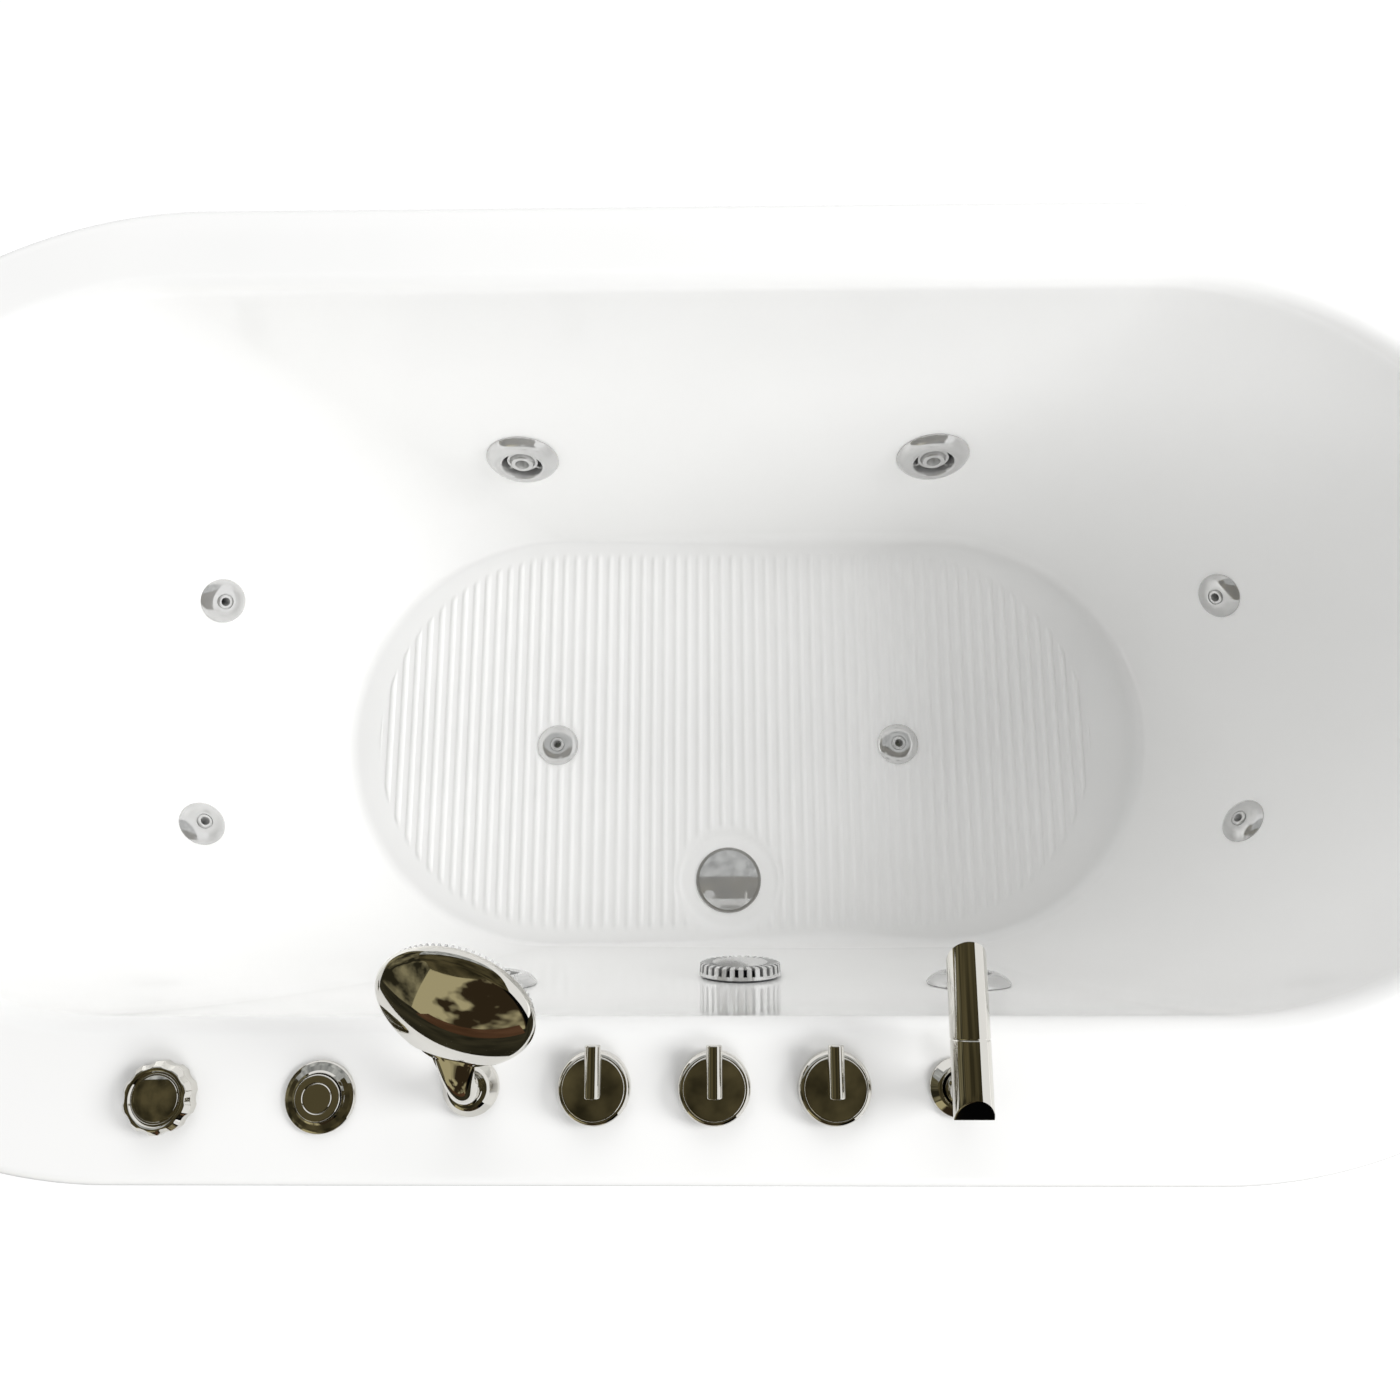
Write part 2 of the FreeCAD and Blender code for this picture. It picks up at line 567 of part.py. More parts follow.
def support_frame():
    """Two long rails, with cross members butted between and beside them that carry the feet."""
    span = (RAIL_Z, RAIL_Z + RAIL)
    bars = []
    for y in (-RAIL_Y, RAIL_Y):
        bars.append(square_tube((RAIL_LEFT, RAIL_RIGHT), (y - RAIL / 2, y + RAIL / 2), span))
    for x in FOOT_X:
        width, near, far = (x - RAIL / 2, x + RAIL / 2), RAIL_Y + RAIL / 2, cross_half(x)
        bars.append(square_tube(width, (-RAIL_Y + RAIL / 2, RAIL_Y - RAIL / 2), span))
        bars.append(square_tube(width, (near, far), span))
        bars.append(square_tube(width, (-far, -near), span))
    holes = [put(drum(FOOT_STUD_R + HOLE_GAP, -5, RAIL_WALL + 3), at(x, y, RAIL_Z)) for x, y in foot_places()]
    return [bar.cut(holes) for bar in bars]


def levelling_feet():
    """Threaded studs with moulded pads, turned up or down on site."""
    foot = turned((0, 0), (FOOT_PAD_R - 2, 0), (FOOT_PAD_R, 2), (FOOT_PAD_R - 1, 7), (12, 13), (9, 18),
                  (FOOT_STUD_R, 18), (FOOT_STUD_R, RAIL_Z + RAIL - 6), (0, RAIL_Z + RAIL - 6))
    return [put(foot, at(x, y)) for x, y in foot_places()]


def foot_nuts():
    """One nut under each rail wall and one on top of it, inside the tube."""
    nut = hexagon(FOOT_NUT, 0, 8, FOOT_STUD_R + 0.05)
    return [put(nut, at(x, y, z)) for x, y in foot_places() for z in (RAIL_Z - 8, RAIL_Z + RAIL_WALL)]


# ---- wall fittings ---------------------------------------------------------------------
def jet_body():
    """Barrel through the wall, with a chamber, two water sockets and an air spigot behind it."""
    barrel_r = JET_BORE_R - HOLE_GAP
    body = drum(barrel_r, -JET_CHAMBER, JET_FLANGE).fuse(drum(JET_FLANGE_R, 0, JET_FLANGE))
    water = Part.makeCylinder(WATER_PIPE_R + 3.5, 2 * JET_SOCKET, V(-JET_SOCKET, 0, -JET_PORT), V(1, 0, 0))
    air = Part.makeCylinder(AIR_PIPE_R + 2.5, JET_SOCKET, V(0, 0, -JET_PORT), V(0, 1, 0))
    body = body.multiFuse([water, air])
    hollow = [drum(barrel_r - 2.5, -JET_CHAMBER + 4, JET_FLANGE + 1),
              Part.makeCylinder(AIR_PIPE_R + 0.2, 20, V(0, JET_SOCKET - SOCKET_DEPTH, -JET_PORT), V(0, 1, 0)),
              Part.makeCylinder(AIR_PIPE_R - 2, JET_SOCKET, V(0, 10, -JET_PORT), V(0, 1, 0))]
    for side in (-1, 1):
        hollow.append(Part.makeCylinder(WATER_PIPE_R + 0.2, 20,
                                        V(side * (JET_SOCKET - SOCKET_DEPTH), 0, -JET_PORT), V(side, 0, 0)))
        hollow.append(Part.makeCylinder(WATER_PIPE_R - 3, JET_SOCKET, V(side * 10, 0, -JET_PORT),
                                        V(side, 0, 0)))
    return body.cut(hollow).removeSplitter()


def jet_face():
    """Domed ring that turns on the body, with four spokes to the cage that holds the nozzle."""
    inside = JET_BORE_R - HOLE_GAP - 2.5 - TURN_GAP
    low = JET_FLANGE + TURN_GAP
    ring = turned((JET_INSERT_R, -12), (inside, -12), (inside, low), (JET_FLANGE_R + TURN_GAP, low),
                  (JET_FLANGE_R + TURN_GAP, 0.6), (JET_FACE_R, 0.6), (JET_FACE_R, 1.6),
                  ((33.5, 7.6), (24.5, JET_FACE_HEIGHT)), ((22.6, 10.8), (JET_INSERT_R, 9)))
    cage = drum(NOZZLE_BALL_R + 2.5, -6, 4)
    spokes = [put(box((NOZZLE_BALL_R, JET_INSERT_R + 1), (-1.3, 1.3), (-6, 1)),
                  FreeCAD.Placement(V(0, 0, 0), FreeCAD.Rotation(UP, 45 + 90 * i))) for i in range(4)]
    ball_room = Part.makeSphere(NOZZLE_BALL_R + TURN_GAP)
    return ring.multiFuse([cage] + spokes).cut(ball_room).removeSplitter()


def jet_nozzle():
    """Eyeball nozzle: a ball cut flat at front and back, with a throat that narrows inwards."""
    back = 11.5
    front_r = math.sqrt(NOZZLE_BALL_R ** 2 - NOZZLE_FRONT ** 2)
    back_r = math.sqrt(NOZZLE_BALL_R ** 2 - back ** 2)
    return turned((NOZZLE_HOLE_R - 2.5, -back), (back_r, -back), ((NOZZLE_BALL_R, 0), (front_r, NOZZLE_FRONT)),
                  (NOZZLE_HOLE_R, NOZZLE_FRONT), (NOZZLE_HOLE_R - 2.5, -2))


def small_jet_face():
    """Domed disc with a raised nozzle ring, on a hollow stem that screws into the body."""
    hole, ring = 4.0, 7.5
    return turned((hole - 1, -SMALL_STEM), (SMALL_STEM_R, -SMALL_STEM), (SMALL_STEM_R, 0), (SMALL_FACE_R, 0),
                  (SMALL_FACE_R, 1), ((17, 5.3), (ring + 1, SMALL_FACE_HEIGHT - 0.4)),
                  (ring + 1, SMALL_FACE_HEIGHT - 1.8), (ring, SMALL_FACE_HEIGHT - 1.8),
                  ((ring - 0.6, SMALL_FACE_HEIGHT + 0.5), (ring - 1.6, SMALL_FACE_HEIGHT + 0.8)),
                  (hole + 0.6, SMALL_FACE_HEIGHT + 0.8), (hole, SMALL_FACE_HEIGHT - 1), (hole - 1, 0))


def small_jet_body():
    barrel = SMALL_BORE_R - HOLE_GAP
    return turned((SMALL_STEM_R + 0.05, -0.2), (barrel, -0.2), (barrel, -26), (barrel + 2.5, -28),
                  (barrel + 2.5, -SMALL_BODY), (BRANCH_PIPE_R + 0.2, -SMALL_BODY),
                  (BRANCH_PIPE_R + 0.2, -SMALL_BODY + SOCKET_DEPTH), (5, -SMALL_BODY + SOCKET_DEPTH),
                  (5, -SMALL_STEM - 1), (SMALL_STEM_R + 0.05, -SMALL_STEM - 1))


def suction_body():
    """Barrel through the wall with an elbow behind it that looks down."""
    barrel = SUCTION_BORE_R - HOLE_GAP
    body = drum(barrel, -SUCTION_CHAMBER, 2).fuse(drum(SUCTION_R - 3, 0, 2))
    down = Part.makeCylinder(SUCTION_PIPE_R + 4, SUCTION_SOCKET, V(0, 0, -SUCTION_PORT), V(0, -1, 0))
    hollow = [drum(barrel - 4, -SUCTION_CHAMBER + 4, 3),
              Part.makeCylinder(SUCTION_PIPE_R + 0.2, 30, V(0, SOCKET_DEPTH - SUCTION_SOCKET, -SUCTION_PORT),
                                V(0, -1, 0)),
              Part.makeCylinder(SUCTION_PIPE_R - 3, SUCTION_SOCKET, V(0, 0, -SUCTION_PORT), V(0, -1, 0))]
    return body.fuse(down).cut(hollow).removeSplitter()


def suction_cover():
    """Cup-shaped guard with slots round its side and over its edge, so that hair can't seal it."""
    low = 2.3
    cup = turned((0, SUCTION_HEIGHT), (SUCTION_R - 3.5, SUCTION_HEIGHT),
                 (SUCTION_R - 0.8, SUCTION_HEIGHT - 1.2),
                 (SUCTION_R, low), (SUCTION_R - 3, low), (SUCTION_R - 3.6, SUCTION_HEIGHT - 3.2),
                 (0, SUCTION_HEIGHT - 3.2))
    width = 2 * math.pi * SUCTION_R / SUCTION_SLOTS * 0.42
    slots = []
    for i in range(SUCTION_SLOTS):
        turn = FreeCAD.Placement(V(0, 0, 0), FreeCAD.Rotation(UP, 360 / SUCTION_SLOTS * i))
        slots.append(put(box((SUCTION_R - 13, SUCTION_R + 1), (-width / 2, width / 2),
                             (low + 3.2, SUCTION_HEIGHT + 1)), turn))
    return cup.cut(slots)


def wall_nuts():
    """Back nuts of the jets and the suction fitting."""
    def ring_nut(bore, outer, under):
        nut = sleeve(outer, bore + 0.05, -under - NUT_HEIGHT, -under)
        lugs = [put(box((outer - 2, outer + 3), (-3, 3), (-under - NUT_HEIGHT, -under)),
                    FreeCAD.Placement(V(0, 0, 0), FreeCAD.Rotation(UP, 60 * i))) for i in range(6)]
        return nut.multiFuse(lugs).removeSplitter()
    nuts = [put(ring_nut(JET_BORE_R - HOLE_GAP, JET_BORE_R + 6, SEAT), s) for s in LARGE_JETS.values()]
    small = SMALL_BORE_R - HOLE_GAP
    nuts += [put(hexagon(2 * SMALL_NUT_R * 0.866, -SEAT - NUT_HEIGHT, -SEAT, small + 0.05), s)
             for s in END_JETS.values()]
    nuts += [put(hexagon(2 * SMALL_NUT_R * 0.866, -SHELL - NUT_HEIGHT, -SHELL, small + 0.05), s)
             for s in FLOOR_JETS.values()]
    nuts.append(put(ring_nut(SUCTION_BORE_R - HOLE_GAP, SUCTION_BORE_R + 7, SEAT), SUCTION_SEAT))
    return nuts


# ---- drain -------------------------------------------------------------------------------
DRAIN_SEAT = at(DRAIN_X, DRAIN_Y, FLOOR_Z - DRAIN_DISH_DEPTH)


def drain_flange():
    """Chromed ring in the dish, with a threaded tail and a three-armed guide for the plug's stem."""
    tail_r = DRAIN_BORE_R + 2
    ring = turned((DRAIN_BORE_R, -DRAIN_TAIL), (tail_r, -DRAIN_TAIL), (tail_r, 0), (PLUG_R + 3.5, 0),
                  (PLUG_R + 3, 1.8), (PLUG_R - 2, 1.8), (DRAIN_BORE_R, -4))
    arms = [put(box((PLUG_STEM_R + 1, DRAIN_BORE_R + 1), (-1.5, 1.5), (GUIDE_LOW, GUIDE_LOW + 12)),
                FreeCAD.Placement(V(0, 0, 0), FreeCAD.Rotation(UP, 120 * i))) for i in range(3)]
    hub = drum(PLUG_STEM_R + 3, GUIDE_LOW, GUIDE_LOW + 12)
    return ring.multiFuse([hub] + arms).cut(drum(PLUG_STEM_R + STEM_FIT, -DRAIN_TAIL, 0)).removeSplitter()


def drain_plug():
    """Mirror-domed cover on a stem, closed at rest and pushed up to open."""
    foot = GUIDE_LOW + 3 - PLUG_TRAVEL
    return turned((0, foot), (PLUG_STEM_R, foot), (PLUG_STEM_R, 0.6), (18, 2.1),
                  (PLUG_R, 2.1), (PLUG_R, 3.6), cap(PLUG_R, 3.6, 7.4))


def drain_nut():
    under = DRAIN_DISH_DEPTH - SHELL
    return hexagon(2 * DRAIN_NUT_R * 0.866, under - 10, under, DRAIN_BORE_R + 2 + 0.05)


def trap_route():
    low, high = TRAP_LOW_Z, TRAP_OUT_Z
    x, y, z = DRAIN_X, DRAIN_Y, DRAIN_SEAT.Base.z - DRAIN_TAIL
    return [(x, y, z), (x, y, low), (x + TRAP_LEG, y, low), (x + TRAP_LEG, y, high), (x + TRAP_REACH, y, high)]


def waste_trap():
    """Low-height trap, slipped over the drain's tail, with its spigot towards the foot end."""
    pipe = rod(trap_route(), TRAP_R, TRAP_BEND)
    pipe = pipe.cut(rod(trap_route(), TRAP_R - 3, TRAP_BEND))
    top = DRAIN_SEAT.Base.z - DRAIN_TAIL
    cup = turned((TRAP_R - 3, 0), (TRAP_R + 10, 0), (TRAP_R + 10, 22), (DRAIN_BORE_R + 2.2, 22),
                 (DRAIN_BORE_R + 2.2, 0.2), (TRAP_R - 3, 0.2))
    return pipe.fuse(put(cup, at(DRAIN_X, DRAIN_Y, top - 0.2))).removeSplitter()


# ---- fittings on the rim -----------------------------------------------------------------
def air_knob():
    """Scalloped grip round a shallow dished centre, on a spindle in the air valve."""
    knob = turned((0, -20), (SPINDLE_R, -20), (SPINDLE_R, 2.5), (KNOB_R - 3, 2.5), (KNOB_R - 3, 0.7),
                  (KNOB_R, 0.7), (KNOB_R, KNOB_HEIGHT - 5.5),
                  ((KNOB_R - 1, KNOB_HEIGHT - 2.4), (KNOB_R - 3.6, KNOB_HEIGHT - 1)),
                  ((KNOB_R - 6, KNOB_HEIGHT - 0.9), (KNOB_R - 8, KNOB_HEIGHT - 2.6)),
                  ((KNOB_R - 9, KNOB_HEIGHT - 3), (KNOB_R - 10, KNOB_HEIGHT - 1.8)),
                  cap(KNOB_R - 10, KNOB_HEIGHT - 1.8, KNOB_HEIGHT))
    bite = 12.0
    cuts = []
    for i in range(KNOB_LOBES):
        a = 2 * math.pi * (i + 0.5) / KNOB_LOBES
        reach = KNOB_R + bite - 1.5
        cuts.append(put(drum(bite, 0, KNOB_HEIGHT + 5), at(reach * math.cos(a), reach * math.sin(a))))
    return knob.cut(cuts)


def air_valve():
    """Barrel under the air knob, with the air pipe's socket at its foot."""
    r = DECK_BARREL_R
    return turned((SPINDLE_R + STEM_FIT, 0.5), (SPINDLE_R + STEM_FIT, 2.2), (KNOB_R - 4, 2.2), (KNOB_R - 4, 0),
                  (r, 0), (r, -DECK_TAIL), (AIR_PIPE_R + 0.2, -DECK_TAIL), (AIR_PIPE_R + 0.2, 14 - DECK_TAIL),
                  (2, 14 - DECK_TAIL), (2, -22), (SPINDLE_R + STEM_FIT, -22))


def button_housing():
    """Stepped chrome collar with a threaded barrel that holds the bellows."""
    well = BUTTON_R + TURN_GAP
    return turned((SPINDLE_R + STEM_FIT, 0), (SPINDLE_R + STEM_FIT, BUTTON_FLOOR), (well, BUTTON_FLOOR),
                  (well, 6.4),
                  ((well + 0.9, 6.9), (well + 2.2, 5.4)), (BUTTON_FLANGE_R - 3.4, 4.6),
                  ((BUTTON_FLANGE_R - 0.9, 4.2), (BUTTON_FLANGE_R, 2)), (BUTTON_FLANGE_R, 0),
                  (DECK_BARREL_R, 0), (DECK_BARREL_R, 10 - DECK_TAIL), (3, 10 - DECK_TAIL), (3, -DECK_TAIL),
                  (1.5, -DECK_TAIL), (1.5, -40), (SPINDLE_R + STEM_FIT, -40))


def air_button():
    """Push cap with a fine ring on it, on a stem that works the bellows."""
    low, top, ring = BUTTON_FLOOR + BUTTON_TRAVEL + TURN_GAP, 9.2, 10.6
    return turned((0, -32), (SPINDLE_R, -32), (SPINDLE_R, low), (BUTTON_R, low), (BUTTON_R, top - 0.9),
                  ((BUTTON_R - 0.3, top - 0.3), (BUTTON_R - 1, top)), (ring + 0.3, top), (ring, top - 0.4),
                  (ring - 0.3, top), (0, top))


def valve_body():
    """Brass valve: threaded barrel, body with side ports and a threaded inlet that looks down."""
    r = DECK_BARREL_R
    body = turned((0, -22), (SPINDLE_R + STEM_FIT, -22), (SPINDLE_R + STEM_FIT, 8), (r, 8), (r, -34),
                  (VALVE_BODY_R, -36), (VALVE_BODY_R, -DECK_TAIL - 8), (0, -DECK_TAIL - 8))
    ports = Part.makeCylinder(COPPER_R + 3, 2 * VALVE_PORT, V(-VALVE_PORT, 0, -VALVE_PIPE_DROP), V(1, 0, 0))
    return body.fuse(ports).removeSplitter()


def valve_inlet():
    """Threaded tail under a hot or cold valve, for the house's supply hose."""
    return turned((0, -DECK_TAIL - 8), (8, -DECK_TAIL - 8), (8, -INLET_DROP + 15), (INLET_R, -INLET_DROP + 15),
                  (INLET_R, -INLET_DROP), (6.5, -INLET_DROP), (6.5, -INLET_DROP + 30), (0, -INLET_DROP + 30))


def valve_escutcheon():
    return turned((DECK_BARREL_R + TURN_GAP, 0), (VALVE_BASE_R, 0), (VALVE_BASE_R, 6.5),
                  ((VALVE_BASE_R - 0.9, 9.6), (VALVE_BASE_R - 3.6, VALVE_BASE_HEIGHT)),
                  (DECK_BARREL_R + TURN_GAP, VALVE_BASE_HEIGHT))


def valve_handle():
    """Domed disc with a round lever lying across it, on the valve's spindle."""
    low = VALVE_BASE_HEIGHT + TURN_GAP
    disc = turned((0, -20), (SPINDLE_R, -20), (SPINDLE_R, low), (HANDLE_DISC_R, low),
                  (HANDLE_DISC_R, low + 1.6),
                  ((HANDLE_DISC_R - 0.4, low + 2.6), (HANDLE_DISC_R - 1.4, low + 3)),
                  cap(HANDLE_DISC_R - 1.4, low + 3, low + 6))
    lever = Part.makeCylinder(LEVER_R, LEVER_LENGTH, V(0, -LEVER_BACK, low + 6 + LEVER_R - 2.6), V(0, 1, 0))
    lever = lever.makeChamfer(0.6, [e for e in lever.Edges if e.Curve.TypeId == "Part::GeomCircle"])
    return disc.fuse(lever).removeSplitter()


def deck_nuts():
    nut = hexagon(DECK_NUT, -SHELL - 8, -SHELL, DECK_BARREL_R + 0.05)
    return [put(nut, at(x, y, DECK_Z)) for x, y in DECK_HOLES]


def spout():
    """Column and tube in one, with a mitred back end and a mouth cut to look down."""
    z, back, front = SPOUT_AXIS_HEIGHT, -SPOUT_TAIL, SPOUT_REACH
    bore = SPOUT_R - 2
    tube = Part.makeCylinder(SPOUT_R, front - back, V(0, back, z), V(0, 1, 0))
    column = drum(DECK_BARREL_R, -DECK_TAIL, z)
    size = 4 * SPOUT_R

    def wedge(y, corner_z, tilt):
        return put(box((-size, size), (-size, 0), (0, size)),
                   FreeCAD.Placement(V(0, y, corner_z), FreeCAD.Rotation(V(1, 0, 0), tilt)))

    body = tube.fuse(column).cut(wedge(back, z, 45))
    mouth = put(box((-size, size), (0, size), (-size, size)),
                FreeCAD.Placement(V(0, front, z + SPOUT_R), FreeCAD.Rotation(V(1, 0, 0), -MOUTH_SLANT)))
    hollow = [Part.makeCylinder(bore, size + front, V(0, back + SPOUT_R, z), V(0, 1, 0)),
              drum(DECK_BARREL_R - 3, -DECK_TAIL - 1, z)]
    groove = Part.makeCylinder(SPOUT_R + 1, 1.2, V(0, SPOUT_SEAM, z), V(0, 1, 0)).cut(
        Part.makeCylinder(SPOUT_R - 0.5, 1.2, V(0, SPOUT_SEAM, z), V(0, 1, 0)))
    return body.cut(hollow + [mouth, groove]).removeSplitter()


def spout_flange():
    return turned((DECK_BARREL_R + TURN_GAP, 0), (SPOUT_FLANGE_R, 0), (SPOUT_FLANGE_R, 2.2),
                  ((SPOUT_FLANGE_R - 1.8, 5.4), (SPOUT_FLANGE_R - 6, 7.5)), (DECK_BARREL_R + TURN_GAP, 7.5))


def stream_former():
    """Plastic honeycomb inside the mouth of the spout."""
    low = SPOUT_REACH - 2 * SPOUT_R * math.tan(math.radians(MOUTH_SLANT)) - 14
    disc = Part.makeCylinder(SPOUT_R - 2.05, 8, V(0, low, SPOUT_AXIS_HEIGHT), V(0, 1, 0))
    cell, holes = 4.4, []
    for i in range(-2, 3):
        for j in range(-2, 3):
            x, z = cell * (i + 0.5 * (j % 2)), cell * 0.87 * j
            if math.hypot(x, z) < SPOUT_R - 5.4:
                holes.append(Part.makeCylinder(1.7, 10, V(x, low - 1, SPOUT_AXIS_HEIGHT + z), V(0, 1, 0)))
    return disc.cut(holes)


def shower_holder():
    return turned((SHOWER_STEM_R + TURN_GAP, -DECK_TAIL), (DECK_BARREL_R, -DECK_TAIL), (DECK_BARREL_R, 0),
                  (HOLDER_R, 0), (HOLDER_R, 3), ((HOLDER_R - 1.6, 8.4), (HOLDER_R - 5, HOLDER_HEIGHT - 1.5)),
                  (HOLDER_R - 7, HOLDER_HEIGHT), (SHOWER_STEM_R + TURN_GAP, HOLDER_HEIGHT))


def head_placement():
    """Middle of the shower head's rim plane, with Z out of its back."""
    tilt = math.radians(SHOWER_TILT)
    back = V(0, -math.sin(tilt), math.cos(tilt))
    tilted = FreeCAD.Rotation(V(1, 0, 0), V(0, math.cos(tilt), math.sin(tilt)), back, "ZXY")
    return FreeCAD.Placement(V(0, SHOWER_HEAD_REACH, SHOWER_HEAD_RISE),
                             FreeCAD.Rotation(UP, -HEAD_YAW).multiply(tilted))


def oval(place, half_wide, half_thick):
    """Closed oval wire whose length lies along the placement's X."""
    if half_wide - half_thick < 0.01:
        edge = Part.makeCircle(half_wide)
    else:
        edge = Part.Ellipse(V(0, 0, 0), half_wide, half_thick).toShape()
    return put(Part.Wire(edge), place)


def shower_shell():
    """Domed head and handle in one casting, drawn down to the stem that stands in the holder."""
    r = SHOWER_HEAD_R
    head = turned((0, -5), (r - 5, -5), (r - 5, -6.5), (r - 2.5, -6.5), ((r - 0.4, -4.2), (r, -1)),
                  ((r - 1.2, 2), (r - 4, 4.4)), cap(r - 4, 4.4, 16.5))
    stations = []
    for y, z, lean, wide, thick in NECK:
        lean = math.radians(lean)
        across, along = V(1, 0, 0), V(0, math.sin(lean), math.cos(lean))
        turn = FreeCAD.Rotation(across, along.cross(across), along, "ZXY")
        stations.append(oval(FreeCAD.Placement(V(0, y, z), turn), wide, thick))
    neck = Part.makeLoft(stations, True, False)
    stem = turned((0, -SHOWER_STEM), (SHOWER_STEM_R - 1, -SHOWER_STEM), (SHOWER_STEM_R, 1 - SHOWER_STEM),
                  (SHOWER_STEM_R, HOLDER_HEIGHT), (SHOWER_HANDLE_R, HOLDER_HEIGHT),
                  (SHOWER_HANDLE_R, NECK[0][1]), (0, NECK[0][1]))
    return fused(put(head, head_placement()), neck, stem)


def spray_plate():
    """Plastic plate in the head with rings of nozzles and a toothed edge."""
    plate = turned((0, -5.1), (SHOWER_HEAD_R - 5.3, -5.1), (SHOWER_HEAD_R - 5.3, -8.4),
                   (SHOWER_HEAD_R - 7, -9.6), (0, -9.6))
    teeth = []
    for i in range(SPRAY_TEETH):
        turn = FreeCAD.Placement(V(0, 0, 0), FreeCAD.Rotation(UP, 360 / SPRAY_TEETH * i))
        teeth.append(put(box((SHOWER_HEAD_R - 6.6, SHOWER_HEAD_R - 3), (-0.8, 0.8), (-9, -6.8)), turn))
    nozzles = []
    for ring in range(1, 5):
        for i in range(6 * ring):
            a = 2 * math.pi * i / (6 * ring)
            nozzles.append(put(Part.makeCone(1.6, 1.0, 2, V(0, 0, -9.5), V(0, 0, -1)),
                               at(ring * SPRAY_RING * math.cos(a), ring * SPRAY_RING * math.sin(a))))
    return put(plate.multiFuse(teeth + nozzles).removeSplitter(), head_placement())


# ---- pump and pipes ----------------------------------------------------------------------
def pump_wet_end():
    """Volute with its suction union in the middle and the discharge rising from its side."""
    axis, x, face = V(0, 1, 0), PUMP_X, VOLUTE_FACE_Y
    z = PUMP_AXIS_Z
    side = x - VOLUTE_R + WATER_PIPE_R + 4
    solids = [Part.makeCylinder(VOLUTE_R, VOLUTE_WIDTH, V(x, face, z), axis),
              Part.makeCylinder(SUCTION_PIPE_R + 6, UNION, V(x, face - UNION, z), axis),
              Part.makeCylinder(WATER_PIPE_R + 4, DISCHARGE_RISE, V(side, face + VOLUTE_WIDTH / 2, z), UP)]
    bores = [Part.makeCylinder(SUCTION_PIPE_R + 0.2, SOCKET_DEPTH, V(x, face - UNION, z), axis),
             Part.makeCylinder(WATER_PIPE_R + 0.2, SOCKET_DEPTH,
                               V(side, face + VOLUTE_WIDTH / 2, z + DISCHARGE_RISE - SOCKET_DEPTH), UP)]
    return fused(*solids).cut(bores)


def discharge_point():
    return V(PUMP_X - VOLUTE_R + WATER_PIPE_R + 4, VOLUTE_FACE_Y + VOLUTE_WIDTH / 2,
             PUMP_AXIS_Z + DISCHARGE_RISE - SOCKET_DEPTH + 1)


def pump_motor():
    """Motor with cooling fins and a fan cover at its far end."""
    y0 = VOLUTE_FACE_Y + VOLUTE_WIDTH
    cover = 38.0
    fin_count, fin = 24, 5.0
    core = Part.makeCylinder(MOTOR_R - fin, MOTOR_LENGTH, V(0, 0, 0), V(0, 1, 0))
    flange = Part.makeCylinder(MOTOR_R, 8, V(0, 0, 0), V(0, 1, 0))
    cap = Part.makeCylinder(MOTOR_R, cover, V(0, MOTOR_LENGTH - cover, 0), V(0, 1, 0))
    cap = cap.makeFillet(6, [e for e in cap.Edges if abs(e.BoundBox.YMin - MOTOR_LENGTH) < 0.01])
    fins = [put(box((-1.2, 1.2), (4, MOTOR_LENGTH - cover + 2), (MOTOR_R - fin - 1, MOTOR_R)),
                FreeCAD.Placement(V(0, 0, 0), FreeCAD.Rotation(V(0, 1, 0), 360 / fin_count * i)))
            for i in range(fin_count)]
    return put(fused(core, flange, cap, *fins), at(PUMP_X, y0, PUMP_AXIS_Z))


def pump_base():
    """Rubber-footed cradle that carries the motor on the rails."""
    low = RAIL_Z + RAIL
    y0 = VOLUTE_FACE_Y + VOLUTE_WIDTH
    reach = RAIL_Y + RAIL / 2
    plate = box((PUMP_X - CRADLE, PUMP_X + CRADLE), (-reach, reach), (low, low + 6))
    saddles = [box((PUMP_X - CRADLE, PUMP_X + CRADLE), (y, y + 16), (low, PUMP_AXIS_Z - MOTOR_R * 0.75))
               for y in (y0 + 12, y0 + MOTOR_LENGTH - 56)]
    room = Part.makeCylinder(MOTOR_R + GLUE_GAP, MOTOR_LENGTH, V(PUMP_X, y0, PUMP_AXIS_Z), V(0, 1, 0))
    return fused(plate, *saddles).cut(room)


def switch_box():
    """Air switch and terminals in a box on the motor."""
    y0 = VOLUTE_FACE_Y + VOLUTE_WIDTH + 60
    low = PUMP_AXIS_Z + MOTOR_R - 6
    block = box((PUMP_X - 38, PUMP_X + 22), (y0, y0 + 74), (low, low + 38))
    block = block.makeFillet(4, [e for e in block.Edges if e.BoundBox.ZLength > 30])
    nipple = Part.makeCylinder(3, 12, V(PUMP_X - 8, y0, low + 24), V(0, -1, 0))
    room = Part.makeCylinder(MOTOR_R + GLUE_GAP, 90, V(PUMP_X, y0 - 5, PUMP_AXIS_Z), V(0, 1, 0))
    return block.fuse(nipple).cut(room)


def seat_point(seat, x, y, z):
    return tuple(seat.multVec(V(x, y, z)))


def round_end(end, degrees, inset):
    """X and Y of a place inside an end's curve (-1 head, 1 foot), that far round from the long side."""
    r = WIDTH / 2 - inset
    return (end * (END_CURVE_X + r * math.sin(math.radians(degrees))), r * math.cos(math.radians(degrees)))


def main_end(sign):
    """Where the water main enters the left jet of the front (-1) or back (1) wall."""
    jet = LARGE_JETS["back_left" if sign > 0 else "front_left"]
    return V(*seat_point(jet, -sign * (JET_SOCKET - SOCKET_DEPTH + 1), 0, -JET_PORT))


